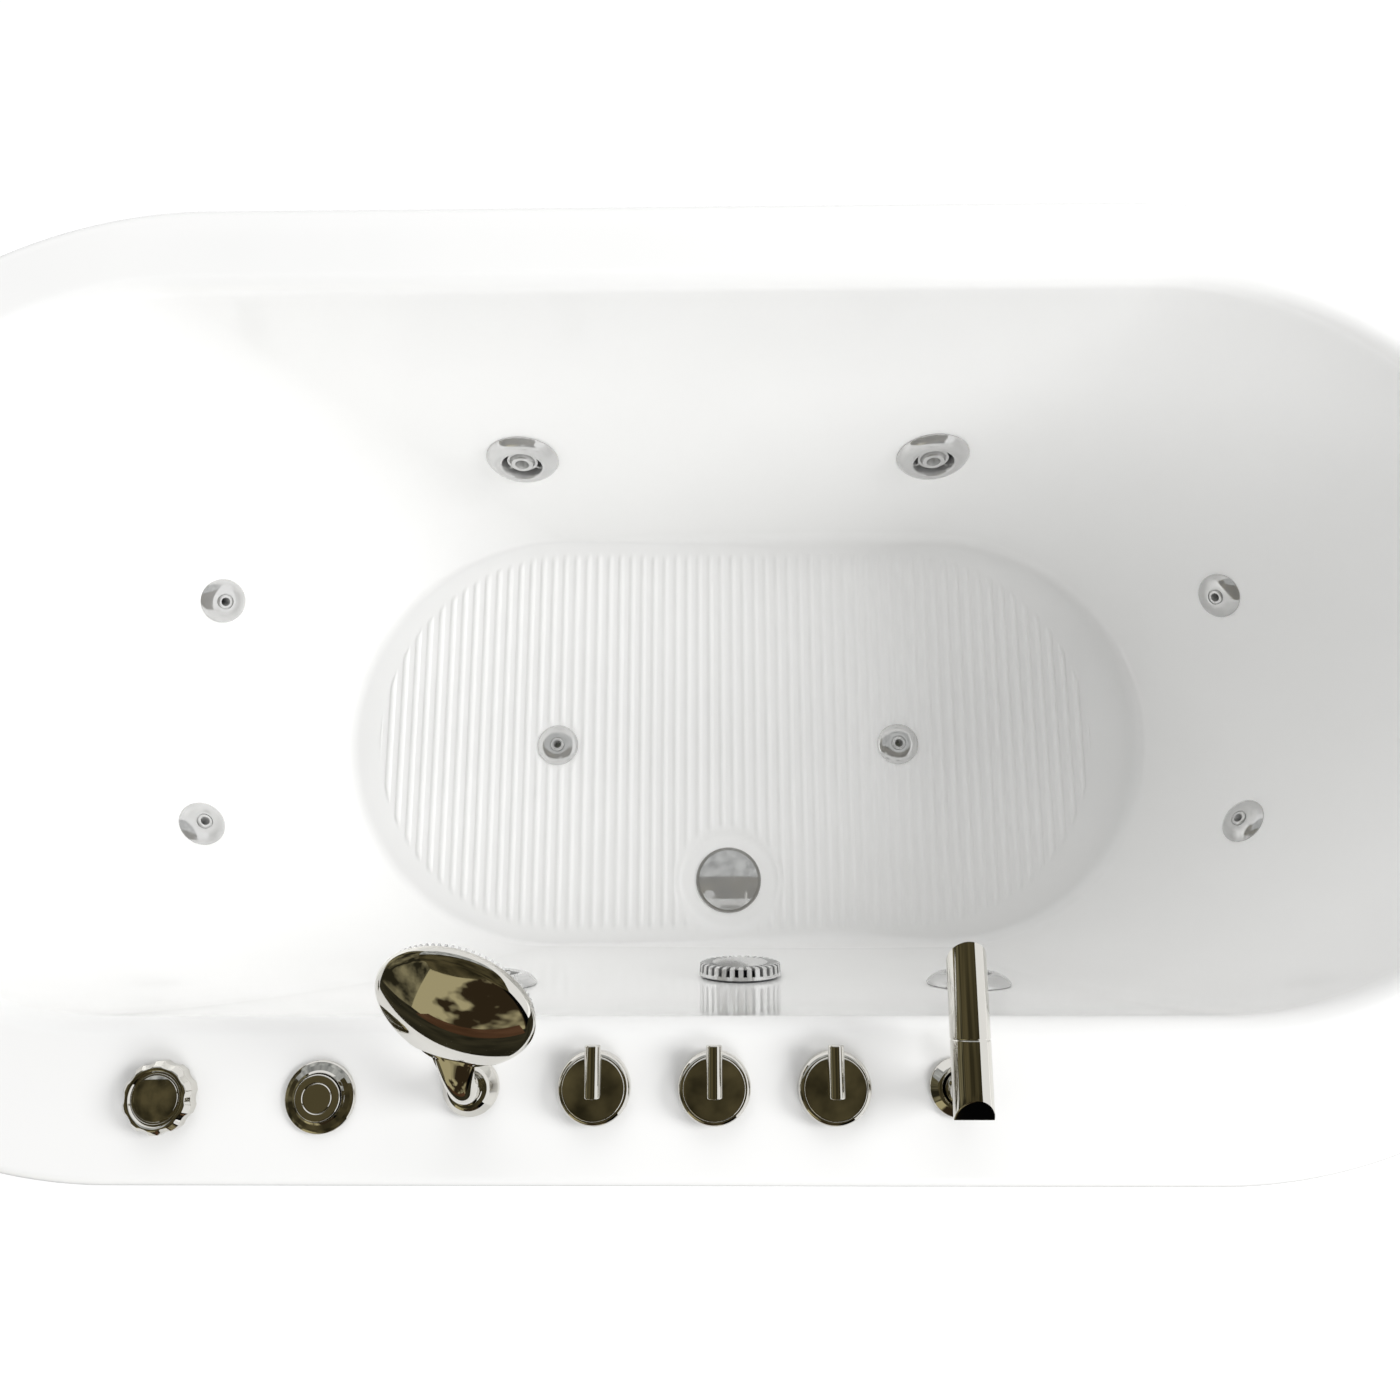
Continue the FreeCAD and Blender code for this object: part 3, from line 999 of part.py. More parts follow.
def main_turn(sign):
    x, y = round_end(-1, MAIN_ANGLE, MAIN_INSET)
    return V(x, sign * y, (MAIN_Z + main_end(sign).z) / 2)


def main_shoulder(sign):
    return V(discharge_point().x, sign * abs(discharge_point().y), MAIN_Z)


def water_main():
    """Pressure pipe up from the pump to a tee, with two arms round the head end to the left jets."""
    start = discharge_point()
    tee = V(start.x, start.y, MAIN_Z)
    pieces = [rod([tuple(start), tuple(tee)], WATER_PIPE_R, 1), Part.makeSphere(WATER_PIPE_R + 3, tee)]
    for sign in (-1, 1):
        end = main_end(sign)
        route = [tuple(tee)]
        if sign > 0:
            route += [(MAIN_LEFT_X, start.y / 2, MAIN_Z), (MAIN_LEFT_X, -start.y / 2, MAIN_Z),
                      tuple(main_shoulder(sign))]
        route += [tuple(main_turn(sign)), (MAIN_JOIN_X, end.y, end.z), tuple(end)]
        pieces.append(rod(route, WATER_PIPE_R, MAIN_BEND))
    return fused(*pieces)


def cross_pipe(side):
    """Straight pipe between the two large jets of one long wall."""
    left, right = LARGE_JETS[side + "_left"], LARGE_JETS[side + "_right"]
    inward = JET_SOCKET - SOCKET_DEPTH + 1
    sign = 1 if side == "back" else -1
    return rod([seat_point(left, sign * inward, 0, -JET_PORT), seat_point(right, -sign * inward, 0, -JET_PORT)],
               WATER_PIPE_R, MAIN_BEND)


def end_branch(name):
    """Small pipe to an end jet."""
    end, side = name.split("_")
    seat = END_JETS[name]
    sign = 1 if side == "back" else -1
    first = seat_point(seat, 0, 0, -SMALL_BODY + SOCKET_DEPTH - 1)
    second = seat_point(seat, 0, 0, -SMALL_BODY - 24)
    if end == "left":
        tap = (main_shoulder(sign) + main_turn(sign)) * 0.5
        low = tap.z - WATER_PIPE_R
        return rod([first, second, (tap.x, tap.y, low - LEFT_BRANCH_DROP), (tap.x, tap.y, low - TAP_GAP)],
                   BRANCH_PIPE_R, SMALL_BEND)
    jet = LARGE_JETS[side + "_right"]
    last = seat_point(jet, sign * (JET_SOCKET - SOCKET_DEPTH + 1), 0, -JET_PORT)
    z = (second[2] + last[2]) / 2
    wide = rod([last, (last[0] + 60, last[1], last[2])], WATER_PIPE_R, 1)
    x, y = round_end(1, BRANCH_ANGLE, BRANCH_INSET)
    thin = rod([(last[0] + 60, last[1], last[2]), (END_CURVE_X + BRANCH_LEAD, last[1], last[2]),
                (x, sign * y, z), second, first], BRANCH_PIPE_R, SMALL_BEND)
    return fused(wide, thin)


def floor_jet_pipe():
    """Pipe under the floor to both floor jets, rising to the water main beside the pump."""
    left, right = FLOOR_JETS["left"].Base, FLOOR_JETS["right"].Base
    top = FLOOR_Z - SMALL_BODY + SOCKET_DEPTH - 1
    low, y = FLOOR_PIPE_Z, left.y
    run = rod([(right.x, y, top), (right.x, y, low), (MAIN_LEFT_X, y, low),
               (MAIN_LEFT_X, y, MAIN_Z - WATER_PIPE_R - GLUE_GAP)], BRANCH_PIPE_R, SMALL_BEND)
    return fused(run, rod([(left.x, y, top), (left.x, y, low)], BRANCH_PIPE_R, SMALL_BEND))


def suction_pipe():
    """Large pipe from the suction fitting along the front wall to the pump."""
    first = V(*seat_point(SUCTION_SEAT, 0, SOCKET_DEPTH - SUCTION_SOCKET - 1, -SUCTION_PORT))
    down = SUCTION_SEAT.Rotation.multVec(V(0, -1, 0))
    low = first + down * ((first.z - PUMP_AXIS_Z) / -down.z)
    end = V(PUMP_X, VOLUTE_FACE_Y - UNION + SOCKET_DEPTH - 1, low.z)
    turn = V(-END_CURVE_X - SUCTION_LATE, low.y, low.z)
    return rod([first, low, turn, end - V(0, SUCTION_LEAD, 0), end],
               SUCTION_PIPE_R, SUCTION_BEND)


def air_pipe(side):
    """Air line of one long wall, fed from the valve under the air knob."""
    left, right = LARGE_JETS[side + "_left"], LARGE_JETS[side + "_right"]
    tops = [V(*seat_point(s, 0, JET_AIR_RISE, -JET_PORT)) for s in (left, right)]
    feet = [seat_point(s, 0, JET_SOCKET - SOCKET_DEPTH + 1, -JET_PORT) for s in (left, right)]
    start_z = DECK_Z - DECK_TAIL + 13
    front_z = V(*seat_point(LARGE_JETS["front_left"], 0, JET_AIR_RISE, -JET_PORT)).z
    if side == "front":
        route = [(KNOB_X, CONTROL_Y, start_z), (KNOB_X, CONTROL_Y, front_z),
                 (KNOB_X + 110, tops[0].y, tops[0].z)]
    else:
        turn_x, turn_y = round_end(-1, AIR_ANGLE, AIR_INSET)
        left_x, left_y = round_end(-1, AIR_END_ANGLE, AIR_END_INSET)
        route = [(KNOB_X - AIR_PIPE_R - 0.3, CONTROL_Y, front_z + 20)]
        route += [(turn_x, -turn_y, front_z + 20), (left_x, -left_y, front_z + 20),
                  (left_x, left_y, front_z + 20), (turn_x, turn_y, front_z),
                  (MAIN_JOIN_X, tops[0].y, tops[0].z)]
    run = rod(route + [tuple(tops[1])], AIR_PIPE_R, 30)
    drops = [rod([f, tuple(t)], AIR_PIPE_R, 1) for f, t in zip(feet, tops)]
    return fused(run, *drops)


def supply_pipes():
    """Copper between the valves, and from the diverter to the spout."""
    z = DECK_Z - VALVE_PIPE_DROP
    pipes = [rod([(VALVES[a] + VALVE_PORT, VALVE_Y, z), (VALVES[b] - VALVE_PORT, VALVE_Y, z)], COPPER_R, 1)
             for a, b in (("hot", "diverter"), ("diverter", "cold"))]
    front = VALVE_Y - COPPER_RUN
    pipes.append(rod([(VALVES["diverter"], VALVE_Y - VALVE_BODY_R, z), (VALVES["diverter"], front, z),
                      (SPOUT_X, front, z), (SPOUT_X, VALVE_Y - DECK_BARREL_R, z)], COPPER_R, 14))
    return pipes


def main():
    os.makedirs("parts", exist_ok=True)
    save("tub_shell", tub_shell())
    save("outer_skirt", outer_skirt())
    save("base_board", base_board())
    save("support_frame", *support_frame())
    save("levelling_feet", *levelling_feet())
    save("foot_nuts", *foot_nuts())
    for name, seat in LARGE_JETS.items():
        save("jet_body_" + name, put(jet_body(), seat))
        save("jet_face_" + name, put(jet_face(), seat))
        save("jet_nozzle_" + name, put(jet_nozzle(), seat))
    for name, seat in END_JETS.items():
        save("end_jet_" + name, put(small_jet_face(), seat))
    for name, seat in FLOOR_JETS.items():
        save("floor_jet_" + name, put(small_jet_face(), seat))
    save("end_jet_bodies", *[put(small_jet_body(), s) for s in END_JETS.values()])
    save("floor_jet_bodies", *[put(small_jet_body(), s) for s in FLOOR_JETS.values()])
    save("suction_body", put(suction_body(), SUCTION_SEAT))
    save("suction_cover", put(suction_cover(), SUCTION_SEAT))
    save("fitting_nuts", put(drain_nut(), DRAIN_SEAT), *wall_nuts())
    save("drain_flange", put(drain_flange(), DRAIN_SEAT))
    save("drain_plug", put(drain_plug(), DRAIN_SEAT))
    save("waste_trap", waste_trap())
    save("air_knob", put(air_knob(), at(KNOB_X, CONTROL_Y, DECK_Z)))
    save("air_valve", put(air_valve(), at(KNOB_X, CONTROL_Y, DECK_Z)))
    save("air_button_housing", put(button_housing(), at(BUTTON_X, CONTROL_Y, DECK_Z)))
    save("air_button", put(air_button(), at(BUTTON_X, CONTROL_Y, DECK_Z)))
    for name, x in VALVES.items():
        spot = at(x, VALVE_Y, DECK_Z)
        body = valve_body() if name == "diverter" else fused(valve_body(), valve_inlet())
        save(name + "_valve", put(body, spot))
        save(name + "_handle", put(valve_handle(), spot))
    save("valve_escutcheons", *[put(valve_escutcheon(), at(x, VALVE_Y, DECK_Z)) for x in VALVES.values()])
    save("deck_nuts", *deck_nuts())
    save("spout", put(spout(), at(SPOUT_X, VALVE_Y, DECK_Z)))
    save("spout_flange", put(spout_flange(), at(SPOUT_X, VALVE_Y, DECK_Z)))
    save("stream_former", put(stream_former(), at(SPOUT_X, VALVE_Y, DECK_Z)))
    shower = FreeCAD.Placement(V(SHOWER_X, VALVE_Y, DECK_Z), FreeCAD.Rotation(UP, -SHOWER_YAW))
    save("shower_holder", put(shower_holder(), at(SHOWER_X, VALVE_Y, DECK_Z)))
    save("hand_shower_shell", put(shower_shell(), shower))
    save("hand_shower_spray_plate", put(spray_plate(), shower))
    save("pump_wet_end", pump_wet_end())
    save("pump_motor", pump_motor())
    save("pump_base", pump_base())
    save("pump_switch_box", switch_box())
    save("water_main", water_main())
    save("water_cross_pipes", cross_pipe("front"), cross_pipe("back"))
    save("air_pipes", air_pipe("front"), air_pipe("back"))
    save("jet_branch_pipes", floor_jet_pipe(), *[end_branch(name) for name in END_JETS])
    save("suction_pipe", suction_pipe())
    save("supply_pipes", *supply_pipes())


if __name__ == "__main__":
    main()
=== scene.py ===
"""Visual model of a free-standing jetted bathtub, built round its CAD frame.

+X is the foot end, +Y the back, +Z up, and the floor of the room is at zero. Shapes are worked out in
millimetres, as whole numpy arrays, and written to their meshes in metres.
"""
import json
import math
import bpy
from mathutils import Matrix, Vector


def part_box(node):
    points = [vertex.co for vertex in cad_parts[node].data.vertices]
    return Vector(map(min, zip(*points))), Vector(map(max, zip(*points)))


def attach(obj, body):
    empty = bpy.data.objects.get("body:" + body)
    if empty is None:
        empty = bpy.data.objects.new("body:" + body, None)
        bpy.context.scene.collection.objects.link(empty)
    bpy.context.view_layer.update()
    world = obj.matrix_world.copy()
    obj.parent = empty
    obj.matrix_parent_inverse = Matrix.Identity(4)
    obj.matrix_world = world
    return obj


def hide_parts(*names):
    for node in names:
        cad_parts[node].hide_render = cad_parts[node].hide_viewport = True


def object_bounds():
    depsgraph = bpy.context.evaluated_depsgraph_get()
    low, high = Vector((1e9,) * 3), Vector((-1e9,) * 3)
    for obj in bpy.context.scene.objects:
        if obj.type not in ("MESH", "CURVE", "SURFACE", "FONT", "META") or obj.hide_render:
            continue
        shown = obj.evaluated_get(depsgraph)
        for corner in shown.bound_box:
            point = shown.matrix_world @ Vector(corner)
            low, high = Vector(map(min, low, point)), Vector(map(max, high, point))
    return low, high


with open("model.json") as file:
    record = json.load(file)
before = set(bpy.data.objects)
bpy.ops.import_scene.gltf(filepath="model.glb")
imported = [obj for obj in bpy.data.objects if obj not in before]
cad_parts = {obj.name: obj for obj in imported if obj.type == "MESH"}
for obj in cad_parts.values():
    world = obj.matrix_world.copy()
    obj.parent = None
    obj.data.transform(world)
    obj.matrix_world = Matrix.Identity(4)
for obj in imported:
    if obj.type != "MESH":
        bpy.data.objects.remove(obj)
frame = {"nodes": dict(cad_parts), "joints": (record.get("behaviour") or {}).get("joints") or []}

from types import SimpleNamespace

import bpy
import numpy as np
from mathutils import Matrix, Vector

bl_info = {
    "name": "Jetted Bathtub",
    "version": (1, 0, 0),
    "blender": (4, 5, 0),
    "location": "View3D > Sidebar > Bathtub",
    "description": "Builds the acrylic tub, its chromed fittings, its hidden plumbing and a pale studio",
    "category": "Add Mesh",
}

MM = 0.001
CAD_LOW, CAD_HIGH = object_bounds()
TURNS = 128                     # facets round a small turned piece
LARGE_JETS = ("front_left", "front_right", "back_left", "back_right")
END_JETS = ("end_jet_left_front", "end_jet_left_back", "end_jet_right_front", "end_jet_right_back")
FLOOR_JETS = ("floor_jet_left", "floor_jet_right")
VALVES = ("hot", "diverter", "cold")
JOINTS = {joint["child"]: joint for joint in frame["joints"]}


def linear(code):
    """Linear colour of an sRGB hex value: the sRGB curve undone, channel by channel."""
    srgb = np.array([int(code[i:i + 2], 16) / 255 for i in (1, 3, 5)])
    return tuple(np.where(srgb <= 0.04045, srgb / 12.92, ((srgb + 0.055) / 1.055) ** 2.4))


# ---- sizes and colours that a user would change ------------------------------------------------------
def length(name, millimetres, about):
    """A length that a user may change, given in millimetres."""
    return bpy.props.FloatProperty(name=name, description=about, default=millimetres * MM, unit="LENGTH",
                                   precision=4)


def colour(name, code, about):
    """A colour that a user may change, given as an sRGB hex value."""
    return bpy.props.FloatVectorProperty(name=name, description=about, default=linear(code), subtype="COLOR",
                                         size=3, min=0.0, max=1.0)


class TubSizes(bpy.types.PropertyGroup):
    shell: length("Shell", 6, "Thickness of the acrylic with its backing")
    lip: length("Lip", 38, "Depth of the rim's outer edge, turned down")
    rim_left: length("Rim, backrest end", 83, "Flat rim at the backrest end")
    rim_right: length("Rim, foot end", 83, "Flat rim at the foot end")
    rim_front: length("Rim, front", 118, "Flat rim on the side with the taps")
    rim_back: length("Rim, back", 78, "Flat rim on the back")
    rim_edge: length("Rim edge radius", 8, "Rounding of the rim's outer edge")
    mouth_edge: length("Mouth radius", 15, "Rounding from the rim into the basin")
    floor_edge: length("Floor radius", 20, "Rounding from the wall to the floor")
    depth: length("Basin depth", 430, "Rim to floor")
    left_run: length("Backrest run", 335, "How far the backrest comes in from rim to floor")
    right_run: length("Foot run", 182, "How far the foot end comes in from rim to floor")
    front_run: length("Front run", 53, "How far the front wall comes in from rim to floor")
    back_run: length("Back run", 71, "How far the back wall comes in from rim to floor")
    rib_pitch: length("Rib pitch", 13.4, "Spacing of the floor's ribs")
    rib_width: length("Rib width", 7, "Width of a rib")
    rib_height: length("Rib height", 2, "Height of a rib")
    dish: length("Drain dish radius", 57, "Smooth recess round the drain")
    dish_depth: length("Drain dish depth", 2, "Depth of that recess")
    skirt_wall: length("Skirt wall", 4, "Thickness of the skirt")
    skirt_taper: length("Skirt taper", 48, "How far the skirt comes in towards the floor")
    skirt_clear: length("Skirt clearance", 12, "Skirt above the floor")


class Finishes(bpy.types.PropertyGroup):
    acrylic: colour("Acrylic", "#F9F9F8", "Glossy sanitary white")
    fibreglass: colour("Glass-fibre backing", "#D9DBCF", "Sprayed strands in resin, under the shell")
    chrome: colour("Chrome plate", "#DAD8D2", "Polished plate on the rim's brass fittings")
    plated_plastic: colour("Plated plastic", "#D6D6D5", "Chromed mouldings in the basin")
    # Dark grey set on the jet and suction bodies, which show behind the jets' spokes and the suction cover's
    # slots.
    jet_recess: colour("Jet recess", "#4C4D4F", "Dark moulding behind a jet's spokes")
    plywood: colour("Plywood", "#B9935F", "Base board")
    zinc: colour("Zinc plate", "#9EA1A3", "Support frame, feet and nuts")
    pvc: colour("White moulding", "#DEDDD8", "Jet and suction bodies")
    pipe: colour("Grey pipe", "#8C9193", "Water pipes")
    brass: colour("Brass", "#B98F4A", "Turned valve bodies")
    copper: colour("Copper", "#B26F4F", "Tubes between the valves")
    motor: colour("Motor paint", "#23262A", "Satin paint on the castings")
    black: colour("Black plastic", "#111213", "Mouldings of the pump")
    rubber: colour("Rubber", "#191919", "Cradle of the pump")


def millimetres(group):
    """The lengths of a property group, in millimetres."""
    return SimpleNamespace(**{name: getattr(group, name) / MM for name in group.__annotations__})


# ---- surfaces ----------------------------------------------------------------------------------------
def unit(vectors):
    """The vectors along the last axis, each with a length of one."""
    return vectors / np.linalg.norm(vectors, axis=-1, keepdims=True)


def eased(share):
    """A share between 0 and 1, with a smooth start and end."""
    return share * share * (3 - 2 * share)


def skin(rings, loop=True, start=None, end=None):
    """Points and faces of a surface: ring i joins ring i + 1, and a start or end point closes it with a fan."""
    count, around = rings.shape[:2]
    index = np.arange(count * around).reshape(count, around)
    low, high = index[:-1], index[1:]
    if loop:
        low_next, high_next = np.roll(low, -1, axis=1), np.roll(high, -1, axis=1)
    else:
        low, low_next, high, high_next = low[:, :-1], low[:, 1:], high[:, :-1], high[:, 1:]
    faces = [np.stack([low, low_next, high_next, high], axis=-1).reshape(-1, 4)]
    points = [rings.reshape(-1, 3)]
    for pole, ring, turn in ((start, index[0], 1), (end, index[-1], -1)):
        if pole is not None:
            hub = np.full(around, sum(len(p) for p in points))
            points.append(np.array(pole, float).reshape(1, 3))
            faces.append(np.stack([np.roll(ring, -turn), ring, hub], axis=-1))
    return np.concatenate(points), faces


def outward(shape):
    """The same closed shape with its faces turned outwards, by the sign of its volume."""
    points, faces = shape
    volume = sum(np.einsum("ij,ij->", points[f[:, 0]], np.cross(points[f[:, 1]], points[f[:, 2]]))
                 + (np.einsum("ij,ij->", points[f[:, 0]], np.cross(points[f[:, 2]], points[f[:, 3]]))
                    if f.shape[1] == 4 else 0.0) for f in faces)
    return shape if volume > 0 else (points, [f[:, ::-1] for f in faces])


def rounded(*corners, steps=5):
    """Profile through (radius, height, rounding) corners: each corner is an arc that touches both its sides."""
    corners = np.array([c if len(c) == 3 else (*c, 0.0) for c in corners], float)
    made = [corners[:1, :2]]
    for before, here, after in zip(corners, corners[1:], corners[2:]):
        into, out = here[:2] - before[:2], after[:2] - here[:2]
        room = 0.49 * min(np.hypot(*into), np.hypot(*out))
        into, out = into / np.hypot(*into), out / np.hypot(*out)
        turn = math.acos(float(np.clip(into @ out, -1, 1)))
        if here[2] == 0 or turn < 0.02:
            made.append(here[None, :2])
            continue
        radius = min(here[2], room / math.tan(turn / 2))
        across = (out - into * math.cos(turn)) / math.sin(turn)
        start = here[:2] - into * radius * math.tan(turn / 2)
        angle = np.linspace(0, turn, steps + 1)[:, None]
        made.append(start + across * radius * (1 - np.cos(angle)) + into * radius * np.sin(angle))
    made.append(corners[-1:, :2])
    return np.concatenate(made)


def dome(radius, low, high, steps=10):
    """Corners from a point at the radius up to the axis, along a ball's surface."""
    rise = high - low
    ball = (radius ** 2 + rise ** 2) / (2 * rise)
    across = radius * np.cos(np.linspace(0, np.pi / 2, steps + 1))
    return [(r, high - ball + math.sqrt(ball ** 2 - r ** 2)) for r in across]


def turned(profile, turns=TURNS, reshape=None):
    """Surface of revolution: each (radius, height) row goes round Z. A row on the axis becomes a pole.
    reshape takes the angles and the radii, and gives the radii of a piece that isn't quite round."""
    start, end = (profile[i] if profile[i][0] < 1e-6 else None for i in (0, -1))
    rows = profile[1 if start is not None else 0:len(profile) - (end is not None)]
    angle = np.linspace(0, 2 * np.pi, turns, endpoint=False)[None, :]
    radius = np.repeat(rows[:, :1], turns, axis=1)
    height = np.repeat(rows[:, 1:], turns, axis=1)
    if reshape:
        radius, height = reshape(angle, radius, height)
    rings = np.stack([radius * np.cos(angle), radius * np.sin(angle), height], axis=-1)
    closed = start is None and end is None
    if closed:
        rings = np.concatenate([rings, rings[:1]])
    return outward(skin(rings, start=None if start is None else (0, 0, start[1]),
                        end=None if end is None else (0, 0, end[1])))


def placed(shape, origin, normal=(0, 0, 1), up=(0, 1, 0)):
    """The shape with its Z laid along the normal and its Y as near as can be to up, at the origin."""
    z = unit(np.array(normal, float))
    x = unit(np.cross(up, z))
    points = shape[0] @ np.stack([x, np.cross(z, x), z]) + np.array(origin, float)
    return points, shape[1]


def centre_top(node):
    """Middle of a node's plan and its highest point, in millimetres."""
    low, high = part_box(node)
    return np.array([(low.x + high.x) / 2, (low.y + high.y) / 2, high.z]) / MM


def half_width(node):
    """Half of a node's width along X, in millimetres: the radius of an upright round one."""
    low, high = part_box(node)
    return (high.x - low.x) / 2 / MM


def piece(name, shapes, finishes, body, replaced=(), slot=None, crisp=True):
    """One object from several shapes, each with its own finish, riding on a body of the frame.
    crisp keeps flat faces flat beside small roundings by weighting their normals by area."""
    mesh = bpy.data.meshes.new(name)
    points, faces, kinds, base = [], [], [], 0
    for kind, shape in enumerate(shapes):
        points.append(shape[0])
        for block in shape[1]:
            faces += (block + base).tolist()
            kinds.append(np.full(len(block), min(kind, len(finishes) - 1), np.int32))
        base += len(shape[0])
    mesh.from_pydata((np.concatenate(points) * MM).tolist(), [], faces)
    for finish in finishes:
        mesh.materials.append(finish)
    mesh.polygons.foreach_set("material_index", np.concatenate(kinds))
    mesh.polygons.foreach_set("use_smooth", np.ones(len(mesh.polygons), bool))
    mesh.update()
    made = bpy.data.objects.new(name, mesh)
    bpy.context.scene.collection.objects.link(made)
    if crisp:
        made.modifiers.new("Even shading", "WEIGHTED_NORMAL").keep_sharp = True
    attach(made, body)
    if replaced:
        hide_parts(*replaced)
    return made


# ---- the basin's form --------------------------------------------------------------------------------
HALF_LENGTH, HALF_WIDTH = CAD_HIGH.x / MM, CAD_HIGH.y / MM
DECK = 600.0                    # top of the rim
END_BOW, BACK_BOW, FRONT_BOW = 1.4, 1.7, 1.9
QUARTER, STRAIGHT = 300, 300    # columns of the floor in a quarter arc and in a straight side


def stadium(left, right, front, back, height):
    """Ring of points: from the left tip along the back to the right tip, and along the front again.
    Arcs are even in angle and straight sides even in distance, so columns line up at every depth."""
    left, right, front, back, height = (np.atleast_1d(np.asarray(v, float))[:, None]
                                        for v in (left, right, front, back, height))
    radius, middle = (back - front) / 2, (back + front) / 2
    angle = np.linspace(0, np.pi / 2, QUARTER + 1)[None, :]
    along = np.linspace(0, 1, STRAIGHT + 1)[None, 1:-1]
    span = right - left - 2 * radius
    x = np.concatenate([left + radius - radius * np.cos(angle), left + radius + span * along,
                        (right - radius + radius * np.cos(angle))[:, ::-1]], axis=1)
    rise = np.concatenate([radius * np.sin(angle), np.broadcast_to(radius, (len(radius), along.shape[1])),
                           (radius * np.sin(angle))[:, ::-1]], axis=1)
    x = np.concatenate([x, x[:, -2:0:-1]], axis=1)
    y = np.concatenate([middle + rise, middle - rise[:, -2:0:-1]], axis=1)
    return np.stack([x, y, np.broadcast_to(height, x.shape)], axis=-1)


def outline(inset, height):
    """Ring that lies inside the tub's outline by an inset."""
    return stadium(inset - HALF_LENGTH, HALF_LENGTH - inset, inset - HALF_WIDTH, HALF_WIDTH - inset, height)


def basin(size, depth, grow=0.0):
    """Rings of the basin's wall at these depths: each side comes in by its run times a power of the depth,
    so that it is hollowed towards the floor. grow moves the ring out by a thickness, across the slope."""
    depth = np.atleast_1d(np.asarray(depth, float))
    part = np.clip(depth / size.depth, 1e-4, None)

    def run(distance, bow):
        """How far a side has come in, less the wall's thickness across its slope."""
        slope = distance * bow * part ** (bow - 1) / size.depth
        return distance * part ** bow - grow * np.hypot(1, slope)

    return stadium(size.rim_left - HALF_LENGTH + run(size.left_run, END_BOW),
                   HALF_LENGTH - size.rim_right - run(size.right_run, END_BOW),
                   size.rim_front - HALF_WIDTH + run(size.front_run, FRONT_BOW),
                   HALF_WIDTH - size.rim_back - run(size.back_run, BACK_BOW), DECK - depth)


def rounding(start, corner, end, steps):
    """Arc from start to end that heads for the corner at both ends: a conic whose weight is the cosine of half
    the turn, which is a circle where both sides are equally long."""
    into, out = corner - start, end - corner
    lengths = np.linalg.norm(into, axis=-1) * np.linalg.norm(out, axis=-1)
    turn = np.arccos(np.clip(np.sum(into * out, axis=-1) / lengths, -1, 1))
    weight = np.cos(turn / 2)[None, :, None]
    t = np.linspace(0, 1, steps + 1)[1:-1, None, None]
    a, b, c = (1 - t) ** 2, 2 * weight * t * (1 - t), t ** 2
    return (a * start + b * corner + c * end) / (a + b + c)


def floor_edge(size, grow=0.0, drop=0.0):
    """Rings where the wall's rounding starts, its sharp corner, and where it ends on the flat floor."""
    bottom = size.depth + drop
    corner = basin(size, bottom, grow)[0]
    slope = unit(corner - basin(size, bottom - 2.0, grow)[0])
    level = unit(slope * (1, 1, 0))
    turn = np.arccos(np.clip(np.sum(slope * level, axis=1), -1, 1))
    reach = ((size.floor_edge + grow) * np.tan(turn / 2))[:, None]
    return corner - slope * reach, corner, corner + level * reach, level


BASIN_MIDDLE = np.array([56.0, 0.0, DECK])      # a point that every wall faces
JET_SEAT, END_SEAT, SUCTION_SEAT = (40.0, 29.0), (24.5, 12.0), (41.0, 28.0)     # radius of face and of hole
SEAT_DEPTHS = np.linspace(230, 340, 221)        # depths at which the wall is searched for a seat
RIBS_LEFT, RIBS_RIGHT, RIBS_SIDE = 30, 57, 19   # plain floor between its edge's corner and the ribs
FLOOR_ROWS = 105                                # of the floor's grid, from front to back
DRAIN_HOLE, FLOOR_JET_HOLE, HOLDER_HOLE = 31.0, 11.0, 7.0       # radii cut out of the top skin
DRAIN_UNDER, JET_BORE, END_BORE = 30.0, 27.0, 12.5              # radii cut out of the underside
SEATS = {}                      # fitting's name: place on the wall, normal into the basin, both radii


def note_seats(size):
    """Places of the fittings on the wall. The large jets' come from their joints; an end jet's or the suction
    cover's is the wall's own point nearest to the middle of its node, with the wall's normal there."""
    SEATS.clear()
    for name in LARGE_JETS:
        joint = JOINTS["jet_face_" + name]
        SEATS["jet_face_" + name] = (np.array(joint["pos_m"]) / MM, np.array(joint["axis"]), *JET_SEAT)
    wall = basin(size, SEAT_DEPTHS)
    for node in (*END_JETS, "suction_cover"):
        low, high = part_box(node)
        middle = np.array((low + high) / 2) / MM
        row, column = np.unravel_index(np.argmin(np.linalg.norm(wall - middle, axis=2)), wall.shape[:2])
        row = int(np.clip(row, 1, len(SEAT_DEPTHS) - 2))
        place = wall[row, column]
        along = wall[row, (column + 1) % wall.shape[1]] - wall[row, column - 1]
        normal = unit(np.cross(wall[row + 1, column] - wall[row - 1, column], along))
        normal *= np.sign(normal @ (BASIN_MIDDLE - place))
        SEATS[node] = (place, normal, *(SUCTION_SEAT if node == "suction_cover" else END_SEAT))


def seated(rings):
    """The wall pressed flat under each fitting: a point in front of the seat's plane goes back to it."""
    for place, normal, radius, _ in SEATS.values():
        off = rings - place
        height = off @ normal
        beside = np.linalg.norm(off - height[..., None] * normal, axis=-1)
        ease = np.clip((radius + 6 - beside) / 6, 0, 1) * (np.abs(height) < 12)
        rings = rings - (np.maximum(height, 0) * ease)[..., None] * normal
    return rings


def opened(shape, holes):
    """The surface without the faces whose middle lies within a hole's radius of its centre."""
    points, faces = shape
    kept = []
    for block in faces:
        middle = points[block].mean(axis=1)
        keep = np.ones(len(block), bool)
        for centre, radius in holes:
            keep &= np.linalg.norm(middle - centre, axis=1) > radius
        kept.append(block[keep])
    return points, kept


